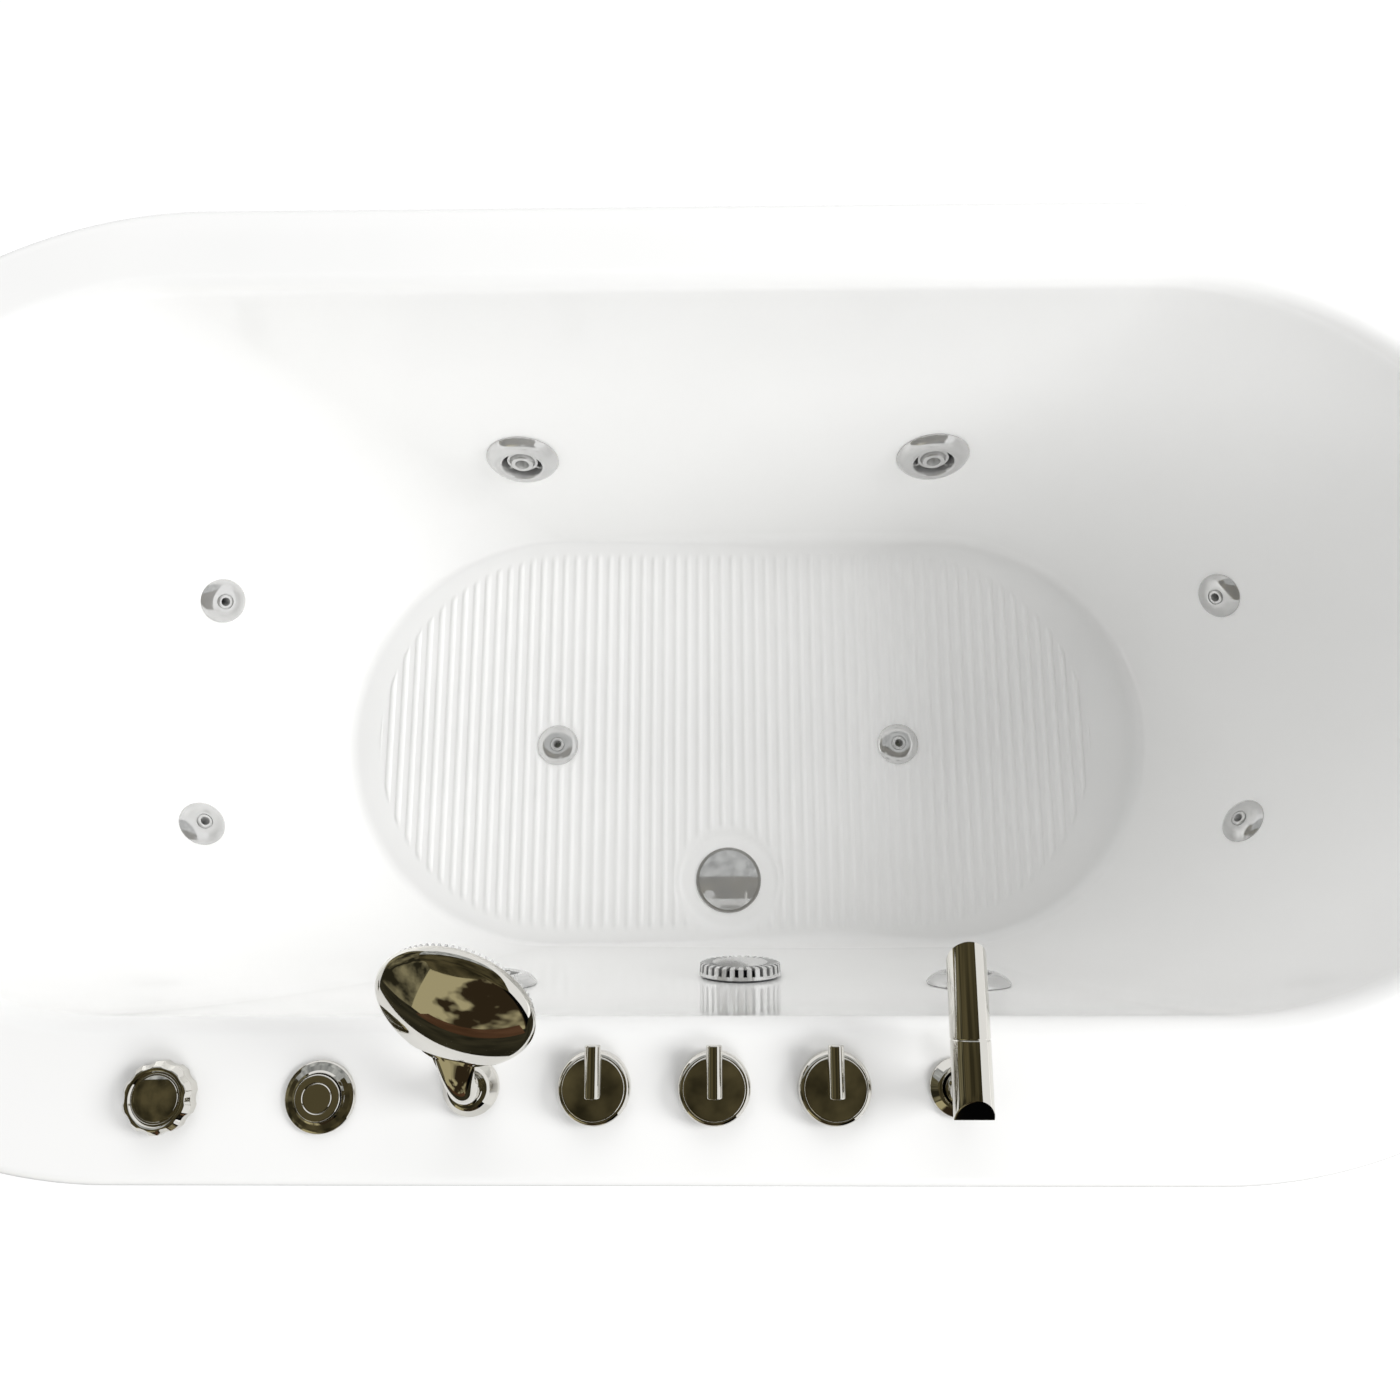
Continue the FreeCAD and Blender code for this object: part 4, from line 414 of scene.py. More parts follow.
def rim_and_walls(size):
    """Top skin in rings: up the lip, round the rim's edge, across the rim, round into the mouth, down the wall,
    round to the floor and a little way along it."""
    turn = np.linspace(0, np.pi / 2, 9)
    lip = outline(np.zeros(4), np.linspace(DECK - size.lip, DECK - size.rim_edge - 1, 4))
    edge = outline(size.rim_edge * (1 - np.cos(turn)), DECK - size.rim_edge * (1 - np.sin(turn)))
    mouth = basin(size, 0.0)[0]
    wall_start = basin(size, size.mouth_edge)[0]
    outside = outline(size.rim_edge, DECK)[0]
    mouth_start = mouth - unit(mouth - outside) * size.mouth_edge
    across = np.linspace(0, 1, 17)[1:, None, None]
    rim = outside + across * (mouth_start - outside)
    into = rounding(mouth_start, mouth, wall_start, 10)
    start, corner, end, level = floor_edge(size)
    depths = np.linspace(size.mouth_edge, size.depth - size.floor_edge, 48)
    wall = basin(size, depths)
    foot = wall[-1] + (start - wall[-1]) * np.linspace(0, 1, 6)[1:, None, None]
    round_floor = rounding(start, corner, end, 9)
    margin = end + level * np.array([0.0, 3.0])[:, None, None]
    rings = np.concatenate([lip, edge, rim, into, seated(wall), foot, round_floor, margin])
    shape = skin(rings[:, ::2])
    holes = [(place, hole) for place, _, _, hole in SEATS.values()]
    holder = centre_top("shower_holder")
    holes.append((np.array([holder[0], holder[1], DECK]), HOLDER_HOLE))
    return opened((shape[0], [face[:, ::-1] for face in shape[1]]), holes)


def ribs(size, x, y, left, right, front, back):
    """Height of the ribs at (x, y): half waves at the pitch, inside a stadium, that die away over a few
    millimetres at its edge, round the drain's dish with its channel to the wall, and round the floor jets."""
    radius, middle = (back - front) / 2, (back + front) / 2
    end = np.maximum(np.maximum(left + radius - x, x - (right - radius)), 0)
    inside = radius - np.hypot(end, y - middle)
    count = int((right - left) // size.rib_pitch)
    first = (left + right) / 2 - size.rib_pitch * (count - 1) / 2
    phase = (x - first + size.rib_pitch / 2) % size.rib_pitch - size.rib_pitch / 2
    wave = np.clip(1 - (2 * phase / size.rib_width) ** 2, 0, None) ** 0.8
    drain = centre_top("drain_plug")
    off_dish = np.hypot(x - drain[0], y - drain[1]) - size.dish - 3
    channel = np.maximum(np.abs(x - drain[0]) - size.dish / 2 - 3, y - drain[1])
    clear = np.minimum(off_dish, np.where(y < drain[1], channel, off_dish))
    for node in FLOOR_JETS:
        jet = centre_top(node)
        clear = np.minimum(clear, np.hypot(x - jet[0], y - jet[1]) - 25)
    fade = np.clip(np.minimum(inside, clear) / 4, 0, 1)
    return size.rib_height * wave * eased(fade)


def basin_floor(size):
    """Flat floor: columns join the front and the back of its edge. The drain's dish is pressed into it with an
    eased step, and the ribs stand on it."""
    _, corner, end, level = floor_edge(size)
    ring = end + level * 3.0
    half = ring.shape[0] // 2
    back, front = ring[:half + 1], np.concatenate([ring[:1], ring[:half - 1:-1]])
    share = np.linspace(0, 1, FLOOR_ROWS + 1)[:, None, None]
    points = front + (back - front) * share
    drain = centre_top("drain_plug")
    away = np.hypot(points[..., 0] - drain[0], points[..., 1] - drain[1])
    step = np.clip((size.dish - away) / 5, 0, 1)
    x, y = points[..., 0], points[..., 1]
    height = ribs(size, x, y, corner[:, 0].min() + RIBS_LEFT, corner[:, 0].max() - RIBS_RIGHT,
                  corner[:, 1].min() + RIBS_SIDE, corner[:, 1].max() - RIBS_SIDE)
    inner = np.clip(np.minimum(share[..., 0], 1 - share[..., 0]) * FLOOR_ROWS / 1.5, 0, 1)
    points[..., 2] += (height - size.dish_depth * eased(step)) * inner
    holes = [(np.array([drain[0], drain[1], points[0, 0, 2] - size.dish_depth]), DRAIN_HOLE)]
    for node in FLOOR_JETS:
        jet = centre_top(node)
        holes.append((np.array([jet[0], jet[1], points[0, 0, 2]]), FLOOR_JET_HOLE))
    return opened(skin(points, loop=False), holes)


def backing(size):
    """Underside in rings, one shell's thickness off the top skin: inside the lip, under the rim, down the
    outside of the wall and in under the floor to its middle line."""
    under = DECK - size.shell
    lip = outline(np.array([0, 0.5, size.shell - 0.5, size.shell, size.shell]),
                  np.array([DECK - size.lip, DECK - size.lip, DECK - size.lip, DECK - size.lip + 1, under - 3]))
    corner = outline(size.shell + 1, under)[0]
    mouth = basin(size, size.shell, size.shell)[0]
    wall_start = basin(size, size.mouth_edge + 2 * size.shell, size.shell)[0]
    mouth_start = mouth - unit(mouth - corner) * (size.mouth_edge + size.shell)
    rim = corner + np.linspace(0, 1, 5)[:, None, None] * (mouth_start - corner)
    into = rounding(mouth_start, mouth, wall_start, 6)
    start, sharp, end, _ = floor_edge(size, size.shell, size.shell)
    depths = np.linspace(size.mouth_edge + 2 * size.shell, size.depth - size.floor_edge, 40)
    wall = basin(size, depths, size.shell)
    round_floor = rounding(start, sharp, end, 6)
    front, back = end[:, 1].min(), end[:, 1].max()
    radius = (back - front) / 2
    line = end.copy()
    line[:, 0] = np.clip(end[:, 0], end[:, 0].min() + radius, end[:, 0].max() - radius)
    line[:, 1] = (front + back) / 2
    floor = end + np.linspace(0, 1, 8)[:, None, None] * (line - end)
    rings = np.concatenate([lip, rim, into, wall, start[None], round_floor, floor])
    shape = skin(rings[:, ::4])
    drain = centre_top("drain_plug")
    holes = [(place - normal * size.shell, hole) for place, normal, _, hole in SEATS.values()]
    holes.append((np.array([drain[0], drain[1], end[0, 2]]), DRAIN_UNDER))
    pads = []
    for node, (place, normal, radius, _) in SEATS.items():
        bore = END_BORE if node in END_JETS else JET_BORE
        profile = rounded((bore, -size.shell + 1), (bore, -size.shell - 4), (radius - 2, -size.shell - 4, 2),
                          (radius, -size.shell + 1))
        pads.append(placed(turned(profile, 64), place, normal, (0, 0, 1)))
    return [opened(shape, holes)] + pads


def skirt_rings(size, inset, steps):
    """Rings of the skirt from top to bottom: below a tenth of it, the taper grows with the power 1.5."""
    step = np.linspace(0, 1, steps)
    side = inset + size.shell + 0.3 + size.skirt_taper * (np.clip(step - 0.1, 0, None) / 0.9) ** 1.5
    under = DECK - size.shell
    return outline(side, under - step * (under - size.skirt_clear))[:, ::6]


def skirt(size):
    """Tapering skirt: its outer rings down, a rounded bottom edge, and its inner rings up again."""
    outer, inner = skirt_rings(size, 0.0, 36), skirt_rings(size, size.skirt_wall, 36)[::-1]
    foot = (outer[-1] + inner[0]) / 2
    outer[-1, :, 2] += 1.2
    inner[0, :, 2] += 1.2
    near = (outer[-1] * 0.75 + inner[0] * 0.25) - (0, 0, 0.9)
    far = (outer[-1] * 0.25 + inner[0] * 0.75) - (0, 0, 0.9)
    rings = np.concatenate([outer, near[None], foot[None], far[None], inner])
    return outward(skin(np.concatenate([rings, rings[:1]])))


# ---- finishes ----------------------------------------------------------------------------------------
def feed(node, inputs):
    """Sets a node's inputs. Each is a value, or another node's output to link."""
    for name, value in inputs.items():
        if isinstance(value, bpy.types.NodeSocket):
            node.id_data.links.new(value, node.inputs[name])
        else:
            node.inputs[name].default_value = value


def add(tree, kind, inputs=None, stops=(), **settings):
    """Adds a node with its settings and links. stops are the places and colours of a colour ramp."""
    made = tree.nodes.new(kind)
    for name, value in settings.items():
        setattr(made, name, value)
    for element, (place, tint) in zip(made.color_ramp.elements if stops else (), stops):
        element.position, element.color = place, (*tint, 1)
    feed(made, inputs or {})
    return made


def darker(tint, share):
    """A colour at that share of its brightness."""
    return [c * share for c in tint]


def finish(name, base, roughness, metallic=0.0, mottle=None, gloss=None, relief=None, **sockets):
    """A Principled material with its plain values on the shader's own sockets, varied by noise. Each noise has
    its main feature in millimetres, its detail, and its stretch, which is under 1 along the axis of long streaks.
    mottle takes the colour down to a share of the base, gloss spreads the roughness between two values, and
    relief raises the surface by a depth in millimetres."""
    made = bpy.data.materials.new(name)
    made.use_nodes = True
    tree = made.node_tree
    shader = tree.nodes["Principled BSDF"]
    feed(shader, {"Base Color": (*base, 1.0), "Roughness": roughness, "Metallic": metallic, **sockets})
    where = add(tree, "ShaderNodeTexCoord").outputs["Object"]
    for noise in (mottle, gloss, relief):
        if noise is None:
            continue
        mapped = add(tree, "ShaderNodeMapping", {"Vector": where, "Scale": noise.get("stretch", (1, 1, 1))})
        fac = add(tree, "ShaderNodeTexNoise", {"Vector": mapped.outputs["Vector"], "Detail": noise["detail"],
                                               "Scale": 1 / (noise["mm"] * MM)}).outputs["Fac"]
        if noise is mottle:
            ramp = add(tree, "ShaderNodeValToRGB", {"Fac": fac},
                       ((0.3, darker(base, noise["share"])), (0.7, base)))
            feed(shader, {"Base Color": ramp.outputs["Color"]})
        elif noise is gloss:
            spread = add(tree, "ShaderNodeMapRange", {"Value": fac, "From Min": 0.3, "From Max": 0.7,
                                                      "To Min": noise["low"], "To Max": noise["high"]})
            feed(shader, {"Roughness": spread.outputs["Result"]})
        else:
            bump = add(tree, "ShaderNodeBump", {"Height": fac, "Distance": noise["depth_mm"] * MM,
                                                "Strength": noise["strength"]})
            feed(shader, {"Normal": bump.outputs["Normal"]})
    return made


def workings(material):
    """A finish's node tree, its shader and its Object coordinates."""
    tree = material.node_tree
    return tree, tree.nodes["Principled BSDF"], tree.nodes["Texture Coordinate"].outputs["Object"]


def cast_acrylic(colours):
    """Vacuum-formed cast acrylic, buffed: a clear-looking gloss with the faint orange peel of the mould."""
    return finish("cast_acrylic_gloss_white", colours.acrylic, 0.07, IOR=1.49,
                  mottle={"mm": 180, "detail": 3, "share": 0.985},
                  gloss={"mm": 60, "detail": 4, "low": 0.05, "high": 0.1},
                  relief={"mm": 14, "detail": 1, "depth_mm": 0.03, "strength": 0.35})


def sprayed_fibreglass(colours):
    """Chopped glass strands sprayed in polyester resin: matt, pale, with 30 mm strands crossing in all ways."""
    made = finish("sprayed_fibreglass", colours.fibreglass, 0.55)
    tree, shader, where = workings(made)
    crossed = None
    for stretch in ((0.25, 1, 1), (1, 0.25, 1), (1, 1, 0.25)):
        mapped = add(tree, "ShaderNodeMapping", {"Vector": where, "Scale": stretch})
        strands = add(tree, "ShaderNodeTexNoise", {"Vector": mapped.outputs["Vector"], "Scale": 1 / (9 * MM),
                                                   "Detail": 3}).outputs["Fac"]
        crossed = strands if crossed is None else add(
            tree, "ShaderNodeMath", {0: crossed, 1: strands}, operation="MAXIMUM").outputs[0]
    ramp = add(tree, "ShaderNodeValToRGB", {"Fac": crossed},
               ((0.45, darker(colours.fibreglass, 0.72)), (0.7, colours.fibreglass)))
    bump = add(tree, "ShaderNodeBump", {"Height": crossed, "Distance": 0.8 * MM, "Strength": 1.0})
    feed(shader, {"Base Color": ramp.outputs["Color"], "Normal": bump.outputs["Normal"]})
    return made


def polished_chrome(colours):
    """Bright chrome on polished brass: a mirror, with the faint haze that wiping leaves on it."""
    return finish("polished_chrome_plate", colours.chrome, 0.03, 1.0,
                  gloss={"mm": 11, "detail": 3, "low": 0.015, "high": 0.06},
                  relief={"mm": 16, "detail": 1, "depth_mm": 0.02, "strength": 0.15})


def plated_plastic(colours):
    """Chrome on moulded ABS, with slight sink marks. It isn't set fully metallic, because the photo shows the
    basin's fittings paler and greyer than those on the rim."""
    return finish("chrome_plated_abs", colours.plated_plastic, 0.06, 0.62,
                  gloss={"mm": 7, "detail": 3, "low": 0.03, "high": 0.11},
                  relief={"mm": 9, "detail": 2, "depth_mm": 0.05, "strength": 0.3})


def birch_plywood(colours):
    """Plywood: long grain on its faces and 1.5 mm veneers in turn along its edge."""
    made = finish("birch_plywood", colours.plywood, 0.62)
    tree, shader, where = workings(made)
    mapped = add(tree, "ShaderNodeMapping", {"Vector": where, "Scale": (0.06, 1, 1)})
    grain = add(tree, "ShaderNodeTexNoise", {"Vector": mapped.outputs["Vector"], "Scale": 1 / (5 * MM),
                                             "Detail": 5}).outputs["Fac"]
    height = add(tree, "ShaderNodeSeparateXYZ", {"Vector": where}).outputs["Z"]
    layers = add(tree, "ShaderNodeMath", {0: height, 1: 3.0 * MM}, operation="PINGPONG").outputs[0]
    banded = add(tree, "ShaderNodeMapRange", {"Value": layers, "From Min": 1.4 * MM, "From Max": 1.6 * MM,
                                              "To Min": 0.8, "To Max": 1.0}).outputs["Result"]
    wood = add(tree, "ShaderNodeValToRGB", {"Fac": grain},
               ((0.35, darker(colours.plywood, 0.6)), (0.65, colours.plywood))).outputs["Color"]
    toned = add(tree, "ShaderNodeMix", {"Factor": 1.0, 6: wood, 7: banded}, data_type="RGBA",
                blend_type="MULTIPLY").outputs[2]
    bump = add(tree, "ShaderNodeBump", {"Height": grain, "Distance": 0.15 * MM, "Strength": 1.0})
    feed(shader, {"Base Color": toned, "Normal": bump.outputs["Normal"]})
    return made


def zinc_plate(colours):
    """Bright zinc on rolled steel: dull mirror, clouded, with faint lines along the drawing direction."""
    return finish("zinc_plated_steel", colours.zinc, 0.36, 1.0, mottle={"mm": 12, "detail": 4, "share": 0.78},
                  gloss={"mm": 2, "detail": 2, "stretch": (0.05, 1, 1), "low": 0.28, "high": 0.46})


def foot_steel_and_pad(colours):
    """Levelling foot: zinc stud above, moulded black pad up to 18 mm from the floor."""
    made = finish("zinc_stud_black_pad", colours.zinc, 0.4)
    tree, shader, where = workings(made)
    height = add(tree, "ShaderNodeSeparateXYZ", {"Vector": where}).outputs["Z"]
    stud = add(tree, "ShaderNodeMath", {0: height, 1: 18.2 * MM}, operation="GREATER_THAN").outputs[0]
    ramp = add(tree, "ShaderNodeValToRGB", {"Fac": stud}, ((0.4, colours.black), (0.6, colours.zinc)))
    thread = add(tree, "ShaderNodeMath", {0: height, 1: 1.75 * MM}, operation="PINGPONG").outputs[0]
    ridge = add(tree, "ShaderNodeMath", {0: thread, 1: stud}, operation="MULTIPLY").outputs[0]
    raised = add(tree, "ShaderNodeMapRange", {"Value": ridge, "From Min": 0, "From Max": 0.9 * MM,
                                              "To Min": 0, "To Max": 1}).outputs["Result"]
    bump = add(tree, "ShaderNodeBump", {"Height": raised, "Distance": 0.5 * MM, "Strength": 1.0})
    feed(shader, {"Metallic": stud, "Base Color": ramp.outputs["Color"], "Normal": bump.outputs["Normal"]})
    return made


def moulded(name, base, roughness, grain_mm=0.8):
    """Injection-moulded plastic: even colour, satin, with the fine spark-eroded grain of the tool."""
    return finish(name, base, roughness, IOR=1.46, mottle={"mm": 40, "detail": 2, "share": 0.93},
                  relief={"mm": grain_mm, "detail": 2, "depth_mm": 0.03, "strength": 0.5})


def drawn_metal(name, base, roughness, line_mm):
    """Turned or drawn metal: bright, toned by handling, with lines at the tool's pitch across Z."""
    return finish(name, base, roughness, 1.0, mottle={"mm": 15, "detail": 3, "share": 0.7},
                  relief={"mm": line_mm, "detail": 1, "stretch": (0.1, 0.1, 1), "depth_mm": 0.03,
                          "strength": 0.6})


def enamelled_casting(colours):
    """Satin paint on a die casting: dark, with a slight texture and worn, paler high spots."""
    made = finish("enamelled_aluminium_casting", colours.motor, 0.42,
                  relief={"mm": 1.2, "detail": 3, "depth_mm": 0.06, "strength": 0.7})
    tree, shader, where = workings(made)
    wear = add(tree, "ShaderNodeTexNoise", {"Vector": where, "Scale": 1 / (9 * MM), "Detail": 4}).outputs["Fac"]
    worn = [c * 1.8 + 0.01 for c in colours.motor]
    ramp = add(tree, "ShaderNodeValToRGB", {"Fac": wear}, ((0.5, colours.motor), (0.85, worn)))
    feed(shader, {"Base Color": ramp.outputs["Color"]})
    return made


FINISH = {}


class BATH_OT_finishes(bpy.types.Operator):
    """Makes every finish of the tub from its colours"""
    bl_idname = "bath.finishes"
    bl_label = "Finishes"

    def execute(self, context):
        colours = SimpleNamespace(**{name: tuple(getattr(context.scene.bath_finishes, name))
                                     for name in Finishes.__annotations__})
        FINISH.update(
            acrylic=cast_acrylic(colours), fibreglass=sprayed_fibreglass(colours),
            chrome=polished_chrome(colours), plated=plated_plastic(colours),
            # Dark grey for the jet and suction bodies, seen behind the spokes and slots.
            recess=moulded("grey_pom_recess", colours.jet_recess, 0.35),
            plywood=birch_plywood(colours), zinc=zinc_plate(colours), foot=foot_steel_and_pad(colours),
            pvc=moulded("white_moulded_pvc", colours.pvc, 0.38),
            pipe=moulded("grey_pvc_pipe", colours.pipe, 0.42),
            hose=moulded("milky_vinyl_hose", colours.pvc, 0.25, 3.0),
            brass=drawn_metal("turned_brass", colours.brass, 0.24, 0.9),
            copper=drawn_metal("drawn_copper", colours.copper, 0.26, 1.5),
            motor=enamelled_casting(colours), black=moulded("black_glass_filled_nylon", colours.black, 0.45),
            rubber=moulded("moulded_rubber", colours.rubber, 0.78, 1.5))
        return {"FINISHED"}


# ---- the tub -----------------------------------------------------------------------------------------
class BATH_OT_tub(bpy.types.Operator):
    """Makes the rim with the walls, the ribbed floor, the glass-fibre underside and the skirt"""
    bl_idname = "bath.tub"
    bl_label = "Tub and skirt"

    def execute(self, context):
        size = millimetres(context.scene.bath_sizes)
        note_seats(size)
        for name, shapes, finish_name, node, slot in (
                ("rim_and_walls", [rim_and_walls(size)], "acrylic", "tub_shell", "white_acrylic"),
                ("basin_floor", [basin_floor(size)], "acrylic", "tub_shell", "white_acrylic"),
                ("tub_backing", backing(size), "fibreglass", "tub_shell", None),
                ("skirt", [skirt(size)], "acrylic", "outer_skirt", "white_acrylic")):
            piece(name, shapes, [FINISH[finish_name]], "tub", (node,), slot, crisp=False)
        return {"FINISHED"}


# ---- fittings on the rim -----------------------------------------------------------------------------
def chromed(name, shapes, x, y, body, node, up=(0, 1, 0)):
    """A chrome piece that stands on the rim at (x, y), in place of a node."""
    piece(name, [placed(shape, (x, y, DECK), up=up) for shape in shapes], [FINISH["chrome"]], body, (node,),
          "chrome")


class BATH_OT_air_controls(bpy.types.Operator):
    """Makes the scalloped air knob, and the air button in its stepped collar"""
    bl_idname = "bath.air_controls"
    bl_label = "Air knob and button"

    def execute(self, context):
        x, y, top = centre_top("air_knob")
        height, radius = top - DECK, half_width("air_knob")
        bite, lobes = 12.0, 10

        def scalloped(angle, radii, heights):
            """Takes a round bite out of the outer rows, one for each lobe, where the rows pass its circle."""
            turn = (angle + np.pi / lobes) % (2 * np.pi / lobes) - np.pi / lobes
            reach = radius + bite - 1.5
            inside = bite ** 2 - (reach * np.sin(turn)) ** 2
            edge = np.where(inside > 0, reach * np.cos(turn) - np.sqrt(np.clip(inside, 0, None)), radius)
            drop = np.clip(radius - edge, 0, None) * np.clip((radii - radius + 5) / 3, 0, 1)
            return radii - drop, heights

        profile = np.concatenate([
            rounded((0, 0.5), (radius - 3, 0.5), (radius, 0.7, 0.4), (radius, height - 5, 3),
                    (radius - 4, height, 2.5), (radius - 6.5, height - 0.6, 1.2),
                    (radius - 8.6, height - 3.4, 1.0), (radius - 10, height - 1.6)),
            dome(radius - 10, height - 1.6, height)[1:]])
        chromed("air_knob_grip", [turned(profile, 240, scalloped)], x, y, "air_knob", "air_knob")

        x, y, top = centre_top("air_button")
        top -= DECK
        cap, flange = half_width("air_button"), half_width("air_button_housing")
        well, stem, barrel, tail = cap + 0.3, 4.1, 12.0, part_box("air_button_housing")[0].z / MM - DECK
        collar = rounded((stem, 1.4), (well, 1.4), (well, 7.0, 0.5), (well + 2.2, 5.6, 0.8),
                         (flange - 3.4, 4.7, 1.5), (flange, 3.4, 2), (flange, 0.05, 0.2), (barrel, 0.05),
                         (barrel, tail), (stem, tail))
        chromed("air_button_collar", [turned(collar)], x, y, "tub", "air_button_housing")
        ring = 10.6
        face = rounded((0, 5.8), (cap, 5.8), (cap, top, 1.0), (ring + 0.7, top, 0.2), (ring, top - 0.7, 0.3),
                       (ring - 0.7, top, 0.2), (0, top + 0.01))
        chromed("air_button_cap", [turned(face)], x, y, "air_button", "air_button")
        return {"FINISHED"}


class BATH_OT_taps(bpy.types.Operator):
    """Makes the three stepped bases and their domed lever handles"""
    bl_idname = "bath.taps"
    bl_label = "Tap handles"

    def execute(self, context):
        bases = []
        for valve in VALVES:
            node = valve + "_handle"
            low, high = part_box(node)
            disc = half_width(node)
            x, y = (low.x + high.x) / 2 / MM, low.y / MM + disc
            base, step = 26.5, 11.0
            bases.append(placed(turned(rounded((12.3, 0.05), (base, 0.05, 0.2), (base, step, 4.2), (13, step),
                                               (12.3, step - 1))), (x, y, DECK)))
            floor = step + 0.3
            edge = rounded((0, floor), (disc, floor, 0.3), (disc, floor + 3, 1.2), (disc - 1.4, floor + 3.2))
            profile = np.concatenate([edge, dome(disc - 1.4, floor + 3.2, floor + 4.6)[1:]])
            lever_r, back, reach = 5.8, -6.0, high.y / MM - y
            height = high.z / MM - DECK - lever_r
            ends = np.array([0, 0.35, 0.9])
            along = np.concatenate([back + ends * 0.9, np.linspace(back + 1.4, reach - 1.4, 8),
                                    reach - ends[::-1] * 0.9])
            soft = lever_r - np.array([0.9, 0.35, 0])
            radii = np.concatenate([soft, np.full(8, lever_r), soft[::-1]])
            angle = np.linspace(0, 2 * np.pi, 64, endpoint=False)[None, :]
            lever = np.stack([radii[:, None] * np.cos(angle), np.repeat(along[:, None], 64, axis=1),
                              height + radii[:, None] * np.sin(angle)], axis=-1)
            lever = outward(skin(lever, start=(0, along[0], height), end=(0, along[-1], height)))
            chromed(valve + "_lever", [turned(profile), lever], x, y, node, node)
        piece("tap_bases", bases, [FINISH["chrome"]], "tub", ("valve_escutcheons",), "chrome")
        return {"FINISHED"}


class BATH_OT_spout(bpy.types.Operator):
    """Makes the spout with its mitred back, seam and slanted mouth, and its flange"""
    bl_idname = "bath.spout"
    bl_label = "Spout"

    def execute(self, context):
        low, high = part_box("spout")
        radius = half_width("spout")
        axis = high.z / MM - DECK - radius
        x = (low.x + high.x) / 2 / MM
        flange_low, flange_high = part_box("spout_flange")
        y = (flange_low.y + flange_high.y) / 2 / MM
        back, front = low.y / MM - y, high.y / MM - y
        slant, seam, wall = math.tan(math.radians(40)), 37.0, 2.0
        angle = np.linspace(0, 2 * np.pi, 128, endpoint=False)[None, :]

        def ring(share, start):
            """Rings round the axis, at shares of the radius, whose place along it is a function of height."""
            share = np.atleast_1d(share)[:, None]
            across, up = share * radius * np.cos(angle), share * radius * np.sin(angle)
            return np.stack([across, start(up), axis + up], axis=-1)

        def rear(up):
            """Back of the tube: square below its axis, mitred at 45 degrees above."""
            return back + np.maximum(up, 0)

        def mouth(up):
            """Front of the tube: it slants back towards the bottom."""
            return front - (radius - up) * slant

        soft = 0.35
        rows = [ring(np.linspace(0.02, 1, 24) * (1 - soft / radius), rear),
                ring(1.0, lambda up: rear(up) + soft)]
        for place in (0.15, 0.4, 0.7, 1.0):
            rows.append(ring(1.0, lambda up, s=place: rear(up) + soft + (seam - 1 - rear(up) - soft) * s))
        for share, place in ((0.975, seam - 0.5), (0.965, seam), (0.975, seam + 0.5), (1.0, seam + 1)):
            rows.append(ring(share, lambda up, p=place: np.full_like(up, p)))
        for place in (0.3, 0.6, 1.0):
            rows.append(ring(1.0, lambda up, s=place: seam + 1 + (mouth(up) - soft - seam - 1) * s))
        rows.append(ring(1 - soft / radius, mouth))
        rows.append(ring(1 - (wall - soft) / radius, mouth))
        rows.append(ring(1 - wall / radius, lambda up: mouth(up) - soft))
        rows.append(ring(1 - wall / radius, lambda up: np.full_like(up, seam + 20)))
        tube = outward(skin(np.concatenate(rows), start=(0, back + 0.1, axis), end=(0, seam + 20, axis)))
        column = turned(rounded((0, -1), (12, -1), (12, axis - 4), (0, axis - 4)))
        chromed("spout_tube", [tube, column], x, y, "tub", "spout")
        flange = half_width("spout_flange")
        collar = rounded((12.05, 0.05), (flange, 0.05, 0.2), (flange, 3.4, 1.6), (flange - 6, 7.4, 4),
                         (13.5, 7.6, 0.8), (12.05, 7.0))
        chromed("spout_collar", [turned(collar)], x, y, "tub", "spout_flange")
        dress("stream_former", "pvc")
        return {"FINISHED"}


HEAD_R, HEAD_RISE, HEAD_REACH = 55.0, 98.0, 60.5      # middle of the head's rim plane over the holder
HEAD_TILT, HANDLE_YAW, HEAD_YAW = 49.5, 6.5, 7.0      # degrees
DOME, RIM_UNDER, SPINE_LIFT = 16.5, -6.5, 4.0         # heights over the rim plane
NECK_R, STEM_R, STEM_END, STEM_TOP = 10.9, 8.4, -69.9, 14.4     # neck, and the stem that sits in the holder


